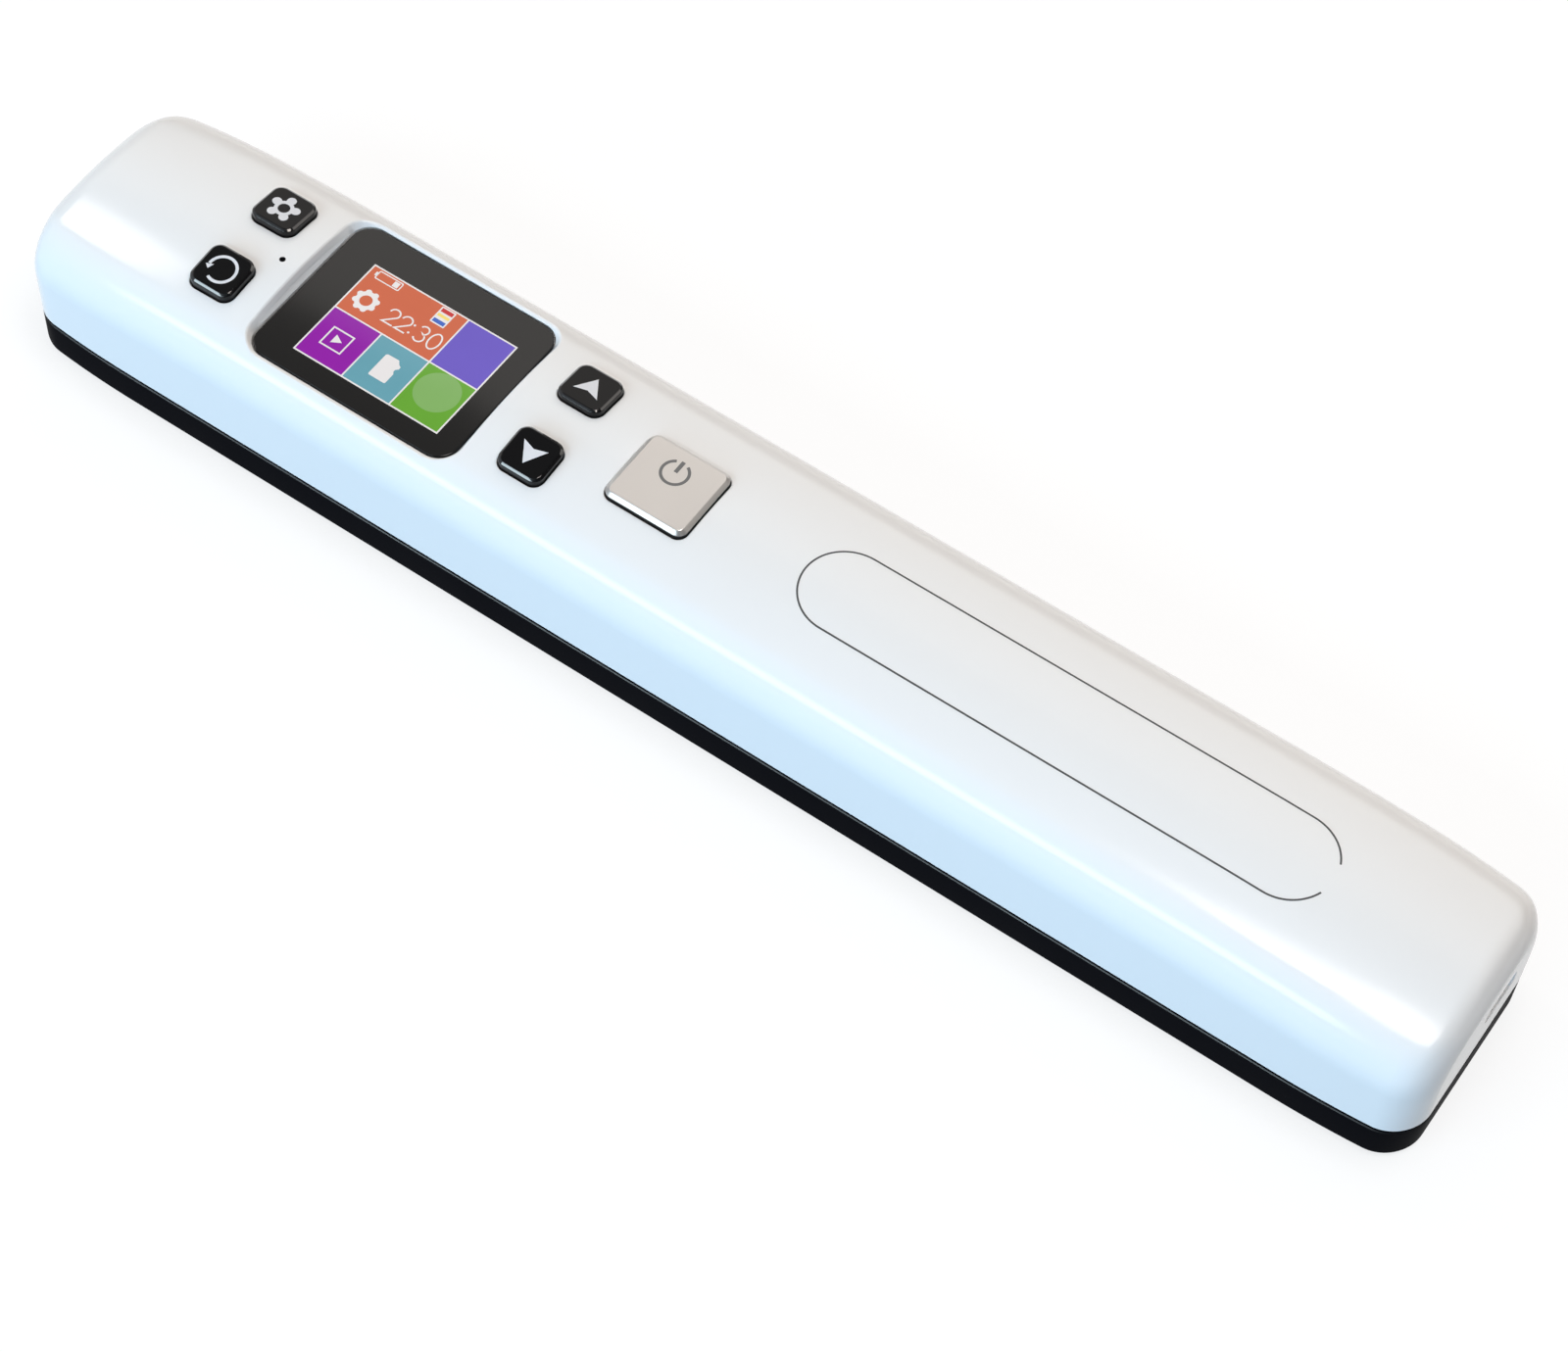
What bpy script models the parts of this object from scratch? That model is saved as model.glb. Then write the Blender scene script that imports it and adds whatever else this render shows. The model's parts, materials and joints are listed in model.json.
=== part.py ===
"""A handheld document scanner: a white shell on a black tray, rolled over a page by hand.

X runs along the scanner, +Y is its back, +Z is up. The rollers touch z = 0.
"""

import math

import bmesh
import bpy
from mathutils import Matrix, Vector

MM = 0.001

# Fits shared by all pieces
SEAT_GAP = 0.3 * MM
OVERRUN = 5.0 * MM
ROOT_IN = 0.6 * MM

# Outer body
LENGTH = 256.0 * MM
WIDTH = 41.0 * MM
HALF_LENGTH = LENGTH / 2
HALF_WIDTH = WIDTH / 2
CORNER_R = 6.2 * MM
END_TAPER = 1.3 * MM
TAPER_LENGTH = 22.0 * MM
BASE_DEPTH = 7.8 * MM
ROLLER_STANDOFF = 0.6 * MM
SHELL_HEIGHT = 20.9 * MM
CROWN_R = 70.0 * MM
EDGE_R = 8.4 * MM
END_EDGE_R = 4.0 * MM
LEFT_FALL = 2.7 * MM
RIGHT_FALL = 2.0 * MM
FALL_LENGTH = 45.0 * MM
SEAM_GAP = 0.3 * MM
SHELL_WALL = 1.8 * MM
BASE_WALL = 2.0 * MM
BASE_FLOOR = 1.5 * MM
BASE_ROUND = 1.2 * MM
BASE_TOP_BEVEL = 0.5 * MM
LIP_INSET = 1.3 * MM
LIP_RISE = 1.2 * MM
EDGE_STEPS = 6
CROWN_STEPS = 4
CORNER_STEPS = 6
FALL_STEPS = 4
BASE_STEPS = 2

# Screen
SCREEN_INSET = 62.7 * MM
SCREEN_X = SCREEN_INSET - HALF_LENGTH
WINDOW_LENGTH = 38.6 * MM
WINDOW_MARGIN = 5.3 * MM
WINDOW_WIDTH = WIDTH - 2 * WINDOW_MARGIN
WINDOW_R = 3.5 * MM
WINDOW_THICK = 1.2 * MM
WINDOW_SINK = 2.45 * MM
POCKET_DRAFT_SHARE = 0.57
LCD_END_BORDER = 2.1 * MM
LCD_SIDE_BORDER = 2.0 * MM
LCD_LENGTH = WINDOW_LENGTH - 2 * LCD_END_BORDER
LCD_WIDTH = WINDOW_WIDTH - 2 * LCD_SIDE_BORDER
LCD_THICK = 2.3 * MM
LCD_EDGE_BEVEL = 0.3 * MM
SCREEN_FRAME_RIM = 1.5 * MM
SCREEN_LEDGE = 1.6 * MM

# Keys
KEY_LENGTH = 8.2 * MM
KEY_WIDTH = 8.0 * MM
KEY_R = 1.8 * MM
KEY_BEVEL = 0.45 * MM
LEFT_KEYS_REACH = 29.45 * MM
RIGHT_KEYS_REACH = 30.15 * MM
LEFT_KEYS_X = SCREEN_X - LEFT_KEYS_REACH
RIGHT_KEYS_X = SCREEN_X + RIGHT_KEYS_REACH
KEY_ROW_Y = 7.65 * MM
POWER_REACH = 19.95 * MM
POWER_X = RIGHT_KEYS_X + POWER_REACH
POWER_LENGTH = 14.8 * MM
POWER_WIDTH = 14.0 * MM
POWER_R = 1.7 * MM
POWER_BEVEL = 0.7 * MM
POWER_STAND = 0.83 * MM
KEY_STAND = 1.25 * MM
KEY_FLANGE_RIM = 0.8 * MM
KEY_FLANGE_THICK = 0.9 * MM
COLLAR_RIM = 1.3 * MM
COLLAR_DROP = 3.3 * MM
SWITCH_SIZE = 4.6 * MM
SWITCH_THICK = 1.3 * MM
SWITCH_WELL = 0.9 * MM
PLUNGER_R = 0.9 * MM
KEY_STEM = 0.85 * MM
PLUNGER_LENGTH = 0.7 * MM
RESET_REACH = 23.7 * MM
RESET_X = SCREEN_X - RESET_REACH
RESET_HOLE_R = 0.5 * MM

# Main board, held under the keys and the screen
BOARD_THICK = 1.2 * MM
BOARD_END_MARGIN = 9.75 * MM
BOARD_PAST_POWER = 11.2 * MM
BOARD_RIGHT_X = POWER_X + BOARD_PAST_POWER
BOARD_SIDE_ROOM = 7.5 * MM
BOARD_WIDTH = WIDTH - 2 * BOARD_SIDE_ROOM
BOARD_R = 1.0 * MM
BOARD_SCREW_INSET = 2.4 * MM
BOARD_SCREW_Y = BOARD_WIDTH / 2 - BOARD_SCREW_INSET
BOARD_SCREW_LEFT_REACH = 7.45 * MM
BOARD_SCREW_RIGHT_REACH = 8.15 * MM
BOARD_SCREW_LEFT_X = LEFT_KEYS_X - BOARD_SCREW_LEFT_REACH
BOARD_SCREW_RIGHT_X = RIGHT_KEYS_X + BOARD_SCREW_RIGHT_REACH
BOARD_BOSS_R = 1.8 * MM
SMALL_SCREW_R = 0.6 * MM
SMALL_HEAD_R = 1.4 * MM
SMALL_HEAD_THICK = 0.8 * MM
CHIP_THICK = 1.2 * MM
PROCESSOR_SIZE = 12.0 * MM
MEMORY_CHIP_SIZE = 8.0 * MM

# Card and its socket
CARD_REACH = 3.3 * MM
CARD_X = SCREEN_X + CARD_REACH
CARD_WIDTH = 11.0 * MM
CARD_LENGTH = 15.0 * MM
CARD_THICK = 1.0 * MM
CARD_RECESS = 0.6 * MM
CARD_NOTCH = 1.0 * MM
CARD_NOTCH_SHARE = 0.42
SOCKET_WALL = 0.3 * MM
SOCKET_DEPTH = 13.5 * MM
SOCKET_SIDE = 1.2 * MM
CARD_SCOOP_R = 5.0 * MM
CARD_SCOOP_DEPTH = 0.9 * MM

# Port in the right end
PORT_Y = 4.0 * MM
PORT_BOARD_LENGTH = 12.0 * MM
PORT_BOARD_SIDE_ROOM = 10.0 * MM
PORT_BOARD_WIDTH = WIDTH - 2 * PORT_BOARD_SIDE_ROOM
PORT_BOARD_THICK = 1.0 * MM
PORT_BOARD_Z = 15.0 * MM
USB_WIDTH = 7.6 * MM
USB_HEIGHT = 2.6 * MM
USB_DEPTH = 5.8 * MM
USB_WALL = 0.35 * MM
USB_TONGUE = 0.7 * MM
USB_CORNER = 0.8 * MM
PORT_MARGIN = 0.5 * MM
PORT_R = 1.2 * MM
PORT_SCREW_INSET = 2.6 * MM
PORT_SCREW_REACH = 3.3 * MM

# Case screws, from below
SCREW_END_ROOM = 53.0 * MM
SCREW_SIDE_ROOM = 4.3 * MM
SCREW_X = HALF_LENGTH - SCREW_END_ROOM
SCREW_Y = HALF_WIDTH - SCREW_SIDE_ROOM
SCREW_R = 0.9 * MM
SCREW_HEAD_R = 1.7 * MM
SCREW_HEAD_THICK = 1.3 * MM
SCREW_SEAT = 3.6 * MM
SCREW_REACH = 8.0 * MM
BASE_BOSS_R = 2.6 * MM
TOP_BOSS_R = 2.7 * MM

# Battery, between the casing's screws
BATTERY_GAP = 10.0 * MM
BATTERY_LENGTH = 62.0 * MM
BATTERY_X = BOARD_RIGHT_X + BATTERY_GAP + BATTERY_LENGTH / 2
BATTERY_SIDE_GAP = 0.75 * MM
BATTERY_WIDTH = 2 * (SCREW_Y - TOP_BOSS_R - BATTERY_SIDE_GAP)
BATTERY_THICK = 6.0 * MM
BATTERY_R = 2.4 * MM
PAD_THICK = 1.2 * MM
PAD_SHARE = 0.8
RIB_THICK = 1.2 * MM
RIB_COUNT = 4
RIB_FRONT_ROOM = 5.0 * MM
RIB_BACK_ROOM = 11.0 * MM
RIB_FRONT_Y = RIB_FRONT_ROOM - HALF_WIDTH
RIB_BACK_Y = HALF_WIDTH - RIB_BACK_ROOM
LEAD_R = 0.6 * MM
LEAD_PITCH = 2.6 * MM

# Image sensor
SENSOR_LEFT_ROOM = 19.0 * MM
SENSOR_RIGHT_ROOM = 13.0 * MM
SENSOR_FRONT_ROOM = 11.0 * MM
SENSOR_BACK_ROOM = 15.0 * MM
SENSOR_X = (SENSOR_LEFT_ROOM - SENSOR_RIGHT_ROOM) / 2
SENSOR_Y = (SENSOR_FRONT_ROOM - SENSOR_BACK_ROOM) / 2
SENSOR_LENGTH = LENGTH - SENSOR_LEFT_ROOM - SENSOR_RIGHT_ROOM
SENSOR_WIDTH = WIDTH - SENSOR_FRONT_ROOM - SENSOR_BACK_ROOM
SENSOR_HEIGHT = 9.7 * MM
SENSOR_DROP = 0.3 * MM
SENSOR_BEVEL = 0.6 * MM
SENSOR_RIM = 1.4 * MM
GLASS_PROUD = 0.4 * MM
GLASS_THICK = 1.6 * MM
GLASS_MARGIN = 0.5 * MM
LENS_WIDTH = 2.0 * MM
LENS_HEIGHT = 4.4 * MM
LENS_GAP_BELOW = 2.2 * MM
LENS_OFFSET = 1.2 * MM
CHAMBER_WIDTH = 5.0 * MM
CHAMBER_HEIGHT = 3.8 * MM
GUIDE_R = 1.5 * MM
SENSOR_BOARD_ROOM = 2.0 * MM
SENSOR_BOARD_WIDTH = SENSOR_WIDTH - 2 * SENSOR_BOARD_ROOM
SENSOR_BOARD_THICK = 1.2 * MM
EAR_LENGTH = 6.0 * MM
EAR_WIDTH = 9.0 * MM
EAR_THICK = 2.0 * MM
EAR_Z = 8.2 * MM
EAR_SCREW_LENGTH = 6.0 * MM
CABLE_WIDTH = 12.0 * MM
CABLE_THICK = 0.3 * MM
CABLE_REACH = 5.15 * MM
CABLE_X = RIGHT_KEYS_X + CABLE_REACH
CABLE_RUN = 14.0 * MM
CONNECTOR_LENGTH = 3.6 * MM
CONNECTOR_HEIGHT = 1.8 * MM

# Rollers
ROLLER_R = 5.5 * MM
ROLLER_WIDTH = 9.0 * MM
ROLLER_END_ROOM = 26.0 * MM
ROLLER_BACK_ROOM = 8.3 * MM
ROLLER_X = HALF_LENGTH - ROLLER_END_ROOM
ROLLER_Y = HALF_WIDTH - ROLLER_BACK_ROOM
ROLLER_GROOVE = 0.35 * MM
ROLLER_GROOVES = 3
SHAFT_R = 1.0 * MM
SHAFT_END_ROOM = 14.5 * MM
SHAFT_RIGHT_X = HALF_LENGTH - SHAFT_END_ROOM
BEARING_END_ROOM = 18.25 * MM
BEARING_X = HALF_LENGTH - BEARING_END_ROOM
BEARING_THICK = 3.0 * MM
BEARING_WIDTH = 5.0 * MM
BEARING_TOP_WALL = 1.6 * MM
GUIDE_RIB = 0.8 * MM
GUIDE_RIB_HEIGHT = 3.0 * MM
SUPPORT_R = 3.5 * MM
SUPPORT_WIDTH = 8.0 * MM
SUPPORT_FRONT_ROOM = 6.2 * MM
SUPPORT_Y = SUPPORT_FRONT_ROOM - HALF_WIDTH
PIN_R = 0.8 * MM
EAR_WALL = 1.2 * MM
POCKET_MARGIN = 0.55 * MM

# Gear train at the left end
GEAR_MODULE = 0.5 * MM
SHAFT_TEETH = 14
PINION_TEETH = 8
IDLER_TEETH = 20
GEAR_PLAY = 0.1 * MM
GEAR_PIN_R = 0.7 * MM
ADDENDUM_SHARE = 0.8
DEDENDUM_SHARE = 1.1
TOOTH_ROOT_SHARE = 0.62
TOOTH_TIP_SHARE = 0.3
IDLER_ANGLE = math.radians(110.0)
ENCODER_ANGLE = math.radians(130.0)
BRACKET_END_ROOM = 15.35 * MM
BRACKET_X = BRACKET_END_ROOM - HALF_LENGTH
BRACKET_THICK = 1.4 * MM
BRACKET_RIM = 2.6 * MM
GEAR_FACE = 2.2 * MM
WHEEL_FACE = 1.7 * MM
DISC_R = 6.5 * MM
DISC_THICK = 0.8 * MM
DISC_SLOTS = 12
DISC_SLOT_LENGTH = 1.8 * MM
DISC_SLOT_WIDTH = 0.8 * MM
DISC_SLOT_RIM = 0.9 * MM
SENSOR_U_WALL = 1.4 * MM
SENSOR_U_REACH = 3.2 * MM
SENSOR_U_HEIGHT = 4.0 * MM
SENSOR_U_BACK = 1.6 * MM
ENCODER_BOARD_LENGTH = 9.0 * MM
ENCODER_BOARD_HEIGHT = 9.0 * MM
ENCODER_BOARD_THICK = 1.0 * MM
POST_LENGTH = 3.0 * MM
POST_WIDTH = 2.2 * MM

# Levels worked out from the sizes above
BASE_Z = ROLLER_STANDOFF
FLOOR_Z = BASE_Z + BASE_FLOOR
PARTING_Z = BASE_Z + BASE_DEPTH
BASE_TOP_Z = PARTING_Z - SEAM_GAP / 2
SHELL_FOOT_Z = PARTING_Z + SEAM_GAP / 2
CROWN_Z = PARTING_Z + SHELL_HEIGHT
WINDOW_TOP_Z = CROWN_Z - WINDOW_SINK
WINDOW_BOTTOM_Z = WINDOW_TOP_Z - WINDOW_THICK
LEDGE_Z = WINDOW_BOTTOM_Z - SEAT_GAP
LCD_TOP_Z = LEDGE_Z
LCD_BOTTOM_Z = LCD_TOP_Z - LCD_THICK
BOARD_TOP_Z = LCD_BOTTOM_Z - SEAT_GAP
BOARD_Z = BOARD_TOP_Z - BOARD_THICK
POWER_TOP_Z = CROWN_Z + POWER_STAND
KEY_SLOPE = KEY_ROW_Y / math.sqrt(CROWN_R**2 - KEY_ROW_Y**2)
KEY_TOP_Z = CROWN_Z - CROWN_R + math.sqrt(CROWN_R**2 - KEY_ROW_Y**2) + KEY_STAND
COLLAR_Z = CROWN_Z - COLLAR_DROP
FLANGE_TOP_Z = COLLAR_Z - SEAT_GAP
FLANGE_Z = FLANGE_TOP_Z - KEY_FLANGE_THICK
SWITCH_Z = BOARD_TOP_Z + SEAT_GAP
SWITCH_TOP_Z = SWITCH_Z + SWITCH_THICK
ROLLER_Z = ROLLER_R
SUPPORT_Z = SUPPORT_R
SENSOR_BOTTOM_Z = BASE_Z + SENSOR_DROP
SENSOR_TOP_Z = SENSOR_BOTTOM_Z + SENSOR_HEIGHT
SENSOR_BOARD_Z = SENSOR_TOP_Z + SEAT_GAP
SENSOR_BOARD_TOP_Z = SENSOR_BOARD_Z + SENSOR_BOARD_THICK
GLASS_Z = SENSOR_BOTTOM_Z - GLASS_PROUD
GLASS_TOP_Z = GLASS_Z + GLASS_THICK
PORT_BOARD_TOP_Z = PORT_BOARD_Z + PORT_BOARD_THICK
USB_Z = PORT_BOARD_TOP_Z + SEAT_GAP
BATTERY_Z = SENSOR_BOARD_TOP_Z + 3 * SEAT_GAP
BATTERY_TOP_Z = BATTERY_Z + BATTERY_THICK
PAD_Z = BATTERY_TOP_Z + SEAT_GAP
RIB_Z = PAD_Z + PAD_THICK + SEAT_GAP
BOARD_LEFT_X = LEFT_KEYS_X - BOARD_END_MARGIN


# Small tools


def clear_scene():
    for item in list(bpy.data.objects):
        bpy.data.objects.remove(item, do_unlink=True)


def material(name, colour, roughness, metallic=0.0, alpha=1.0):
    made = bpy.data.materials.new(name)
    made.use_nodes = True
    shader = made.node_tree.nodes["Principled BSDF"]
    shader.inputs["Base Color"].default_value = (*colour, 1.0)
    shader.inputs["Roughness"].default_value = roughness
    shader.inputs["Metallic"].default_value = metallic
    shader.inputs["Alpha"].default_value = alpha
    made.diffuse_color = (*colour, alpha)
    return made


def ring_stack(rings):
    """A closed solid through rings of 3-D points that all have the same count."""
    shape = bmesh.new()
    loops = [[shape.verts.new(point) for point in ring] for ring in rings]
    count = len(loops[0])
    for below, above in zip(loops, loops[1:]):
        for i in range(count):
            j = (i + 1) % count
            shape.faces.new((below[i], below[j], above[j], above[i]))
    shape.faces.new(list(reversed(loops[0])))
    shape.faces.new(loops[-1])
    bmesh.ops.recalc_face_normals(shape, faces=shape.faces)
    return shape


def prism(outline, low, high, axis="Z"):
    """Extrude a flat outline along an axis. The outline's pairs are the two other axes in order."""
    place = {
        "X": lambda a, b, h: (h, a, b),
        "Y": lambda a, b, h: (a, h, b),
        "Z": lambda a, b, h: (a, b, h),
    }[axis]
    return ring_stack([[place(a, b, h) for a, b in outline] for h in (low, high)])


def box(x_low, x_high, y_low, y_high, z_low, z_high):
    outline = [(x_low, y_low), (x_high, y_low), (x_high, y_high), (x_low, y_high)]
    return prism(outline, z_low, z_high)


def centred_box(x, y, length, width, z_low, z_high):
    return box(x - length / 2, x + length / 2, y - width / 2, y + width / 2, z_low, z_high)


def rounded(x, y, length, width, radius, steps=3):
    """A rectangle's outline with round corners."""
    points = []
    corners = ((1, 1, 0), (-1, 1, 1), (-1, -1, 2), (1, -1, 3))
    for side_x, side_y, turn in corners:
        centre_x = x + side_x * (length / 2 - radius)
        centre_y = y + side_y * (width / 2 - radius)
        for i in range(steps + 1):
            angle = (turn + i / steps) * math.pi / 2
            points.append((centre_x + radius * math.cos(angle), centre_y + radius * math.sin(angle)))
    return points


def circle(a, b, radius, steps=16):
    angles = [2 * math.pi * (i + 0.5) / steps for i in range(steps)]
    return [(a + radius * math.cos(t), b + radius * math.sin(t)) for t in angles]


def rod(axis, a, b, radius, low, high, steps=16):
    return prism(circle(a, b, radius, steps), low, high, axis)


def gather(shapes):
    """Put several closed solids that lie apart into one shape."""
    whole = bmesh.new()
    for shape in shapes:
        mesh = bpy.data.meshes.new("part")
        shape.to_mesh(mesh)
        shape.free()
        whole.from_mesh(mesh)
        bpy.data.meshes.remove(mesh)
    return whole


def add(name, shape, skin=None, origin=(0.0, 0.0, 0.0), smooth=None):
    """Make an object from a shape in world place, with its origin where it is asked for."""
    bmesh.ops.translate(shape, verts=shape.verts, vec=-Vector(origin))
    mesh = bpy.data.meshes.new(name)
    shape.to_mesh(mesh)
    shape.free()
    item = bpy.data.objects.new(name, mesh)
    item.location = origin
    bpy.context.scene.collection.objects.link(item)
    if skin:
        mesh.materials.append(skin)
    if smooth:
        mesh.shade_smooth()
        mesh.set_sharp_from_angle(angle=math.radians(smooth))
    return item


def carve(item, shape, operation="DIFFERENCE"):
    """Cut a shape out of an item, or join it on, with a Boolean that is applied at once."""
    tool = add("tool", shape)
    bpy.context.view_layer.update()
    step = item.modifiers.new("step", "BOOLEAN")
    step.operation = operation
    step.solver = "EXACT"
    step.object = tool
    graph = bpy.context.evaluated_depsgraph_get()
    mesh = bpy.data.meshes.new_from_object(item.evaluated_get(graph))
    item.modifiers.clear()
    old = item.data
    item.data = mesh
    bpy.data.meshes.remove(old)
    bpy.data.objects.remove(tool, do_unlink=True)


def finish(item, name, smooth=35):
    item.name = name
    item.data.name = name
    item.data.shade_smooth()
    item.data.set_sharp_from_angle(angle=math.radians(smooth))


def bevel(item, width, steps=2, angle=40):
    step = item.modifiers.new("Bevel", "BEVEL")
    step.width = width
    step.segments = steps
    step.limit_method = "ANGLE"
    step.angle_limit = math.radians(angle)


def as_shape(item):
    """Take an item's mesh as a loose shape, and remove the item."""
    shape = bmesh.new()
    shape.from_mesh(item.data)
    bpy.data.objects.remove(item, do_unlink=True)
    return shape


# The body's form


def corner_radius(inset):
    return max(CORNER_R - inset, CORNER_R / CORNER_STEPS)


def plan_half_width(x, inset):
    """Half the body's width at x: it tapers near the ends and turns round each corner."""
    taper = max(0.0, abs(x) - (HALF_LENGTH - TAPER_LENGTH)) / TAPER_LENGTH
    radius = corner_radius(inset)
    past = min(max(0.0, abs(x) - (HALF_LENGTH - inset - radius)), radius)
    turn = radius - math.sqrt(radius**2 - past**2)
    return HALF_WIDTH - inset - END_TAPER * taper**2 - turn


def crown_height(x, inset):
    """The roof line at x: flat along the middle, it falls to both ends and turns down there."""
    fall = LEFT_FALL if x < 0 else RIGHT_FALL
    run = max(0.0, abs(x) - (HALF_LENGTH - FALL_LENGTH)) / FALL_LENGTH
    radius = max(END_EDGE_R - inset, END_EDGE_R / CORNER_STEPS)
    past = min(max(0.0, abs(x) - (HALF_LENGTH - inset - radius)), radius)
    turn = radius - math.sqrt(radius**2 - past**2)
    return CROWN_Z - inset - fall * run**2 - turn


def stations(inset):
    """Places along X, close together where the form turns."""
    reach = HALF_LENGTH - inset
    radius = corner_radius(inset)
    start = HALF_LENGTH - FALL_LENGTH
    half = [start + (reach - radius - start) * i / FALL_STEPS for i in range(FALL_STEPS)]
    for i in range(CORNER_STEPS + 1):
        half.append(reach - radius + radius * math.sin(math.pi / 2 * i / CORNER_STEPS))
    return [-x for x in reversed(half)] + half


def roof_section(half_width, crown_z, edge_r, crown_r, foot_z):
    """A closed outline across the shell: straight sides, round edges and a crowned roof."""
    reach = half_width - edge_r
    lean = math.asin(reach / (crown_r - edge_r))
    edge_z = crown_z - crown_r + (crown_r - edge_r) * math.cos(lean)
    side = [(half_width, foot_z)]
    for i in range(EDGE_STEPS + 1):
        angle = (math.pi / 2 - lean) * i / EDGE_STEPS
        side.append((reach + edge_r * math.cos(angle), edge_z + edge_r * math.sin(angle)))
    roof = []
    for i in range(1, CROWN_STEPS):
        angle = lean * (1 - 2 * i / CROWN_STEPS)
        roof.append((crown_r * math.sin(angle), crown_z - crown_r + crown_r * math.cos(angle)))
    return side + roof + [(-y, z) for y, z in reversed(side)]


def shell_loft(inset, foot_z):
    """The shell's outer form, or its inside at a wall's inset, lofted along X."""
    rings = []
    for x in stations(inset):
        outline = roof_section(
            plan_half_width(x, inset), crown_height(x, inset), EDGE_R - inset, CROWN_R - inset, foot_z
        )
        rings.append([(x, y, z) for y, z in outline])
    return ring_stack(rings)


def plan_ring(inset, z):
    front = [(x, -plan_half_width(x, inset), z) for x in stations(inset)]
    back = [(x, -y, z) for x, y, z in reversed(front)]
    return front + back


def plan_wall(inset_outer, inset_inner, z_low, z_high):
    """An upright wall that follows the body's plan, open in the middle."""
    shape = bmesh.new()
    rings = [
        [shape.verts.new(point) for point in plan_ring(inset, z)]
        for inset, z in (
            (inset_outer, z_low),
            (inset_outer, z_high),
            (inset_inner, z_high),
            (inset_inner, z_low),
        )
    ]
    count = len(rings[0])
    for now, then in zip(rings, rings[1:] + rings[:1]):
        for i in range(count):
            j = (i + 1) % count
            shape.faces.new((now[i], now[j], then[j], then[i]))
    bmesh.ops.recalc_face_normals(shape, faces=shape.faces)
    return shape


def screw_places():
    return [(x, y) for x in (-SCREW_X, SCREW_X) for y in (-SCREW_Y, SCREW_Y)]


def board_screw_places():
    left = BOARD_SCREW_LEFT_X
    return [(left, -BOARD_SCREW_Y), (left, BOARD_SCREW_Y), (BOARD_SCREW_RIGHT_X, 0.0)]


def small_keys():
    """Each small key's name and centre."""
    return (
        ("settings", LEFT_KEYS_X, KEY_ROW_Y),
        ("back", LEFT_KEYS_X, -KEY_ROW_Y),
        ("up", RIGHT_KEYS_X, KEY_ROW_Y),
        ("down", RIGHT_KEYS_X, -KEY_ROW_Y),
    )


def all_keys():
    """Each key's name, centre, length, width, corner radius and edge bevel."""
    keys = [(n, x, y, KEY_LENGTH, KEY_WIDTH, KEY_R, KEY_BEVEL) for n, x, y in small_keys()]
    keys.append(("power", POWER_X, 0.0, POWER_LENGTH, POWER_WIDTH, POWER_R, POWER_BEVEL))
    return keys


# Gear places, worked out from the mesh


def pitch_radius(teeth):
    return teeth * GEAR_MODULE / 2


def idler_centre():
    reach = pitch_radius(SHAFT_TEETH) + pitch_radius(PINION_TEETH) + GEAR_PLAY
    return ROLLER_Y + reach * math.cos(IDLER_ANGLE), ROLLER_Z + reach * math.sin(IDLER_ANGLE)


def encoder_centre():
    reach = pitch_radius(IDLER_TEETH) + pitch_radius(PINION_TEETH) + GEAR_PLAY
    y, z = idler_centre()
    return y + reach * math.cos(ENCODER_ANGLE), z + reach * math.sin(ENCODER_ANGLE)


def gear_planes():
    """X levels of the gear stack, from the bracket out to the end wall."""
    bracket_face = BRACKET_X - BRACKET_THICK
    gear_high = bracket_face - 2 * SEAT_GAP
    gear_low = gear_high - GEAR_FACE
    wheel_high = gear_low - SEAT_GAP
    wheel_low = wheel_high - WHEEL_FACE
    disc_high = wheel_low - 3 * SEAT_GAP
    disc_low = disc_high - DISC_THICK
    return bracket_face, gear_high, gear_low, wheel_high, wheel_low, disc_high, disc_low


def port_board_x():
    """The port board's near and far ends: the far end stops short of the end wall."""
    far = HALF_LENGTH - SHELL_WALL - 3 * SEAT_GAP
    return far - PORT_BOARD_LENGTH, far


def port_screw_place():
    near, _ = port_board_x()
    return near + PORT_SCREW_INSET, PORT_Y - PORT_BOARD_WIDTH / 2 + PORT_SCREW_INSET


def sensor_ear_places():
    reach = SENSOR_LENGTH / 2 + EAR_LENGTH / 2
    return [SENSOR_X - reach, SENSOR_X + reach]


# Top casing


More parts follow.
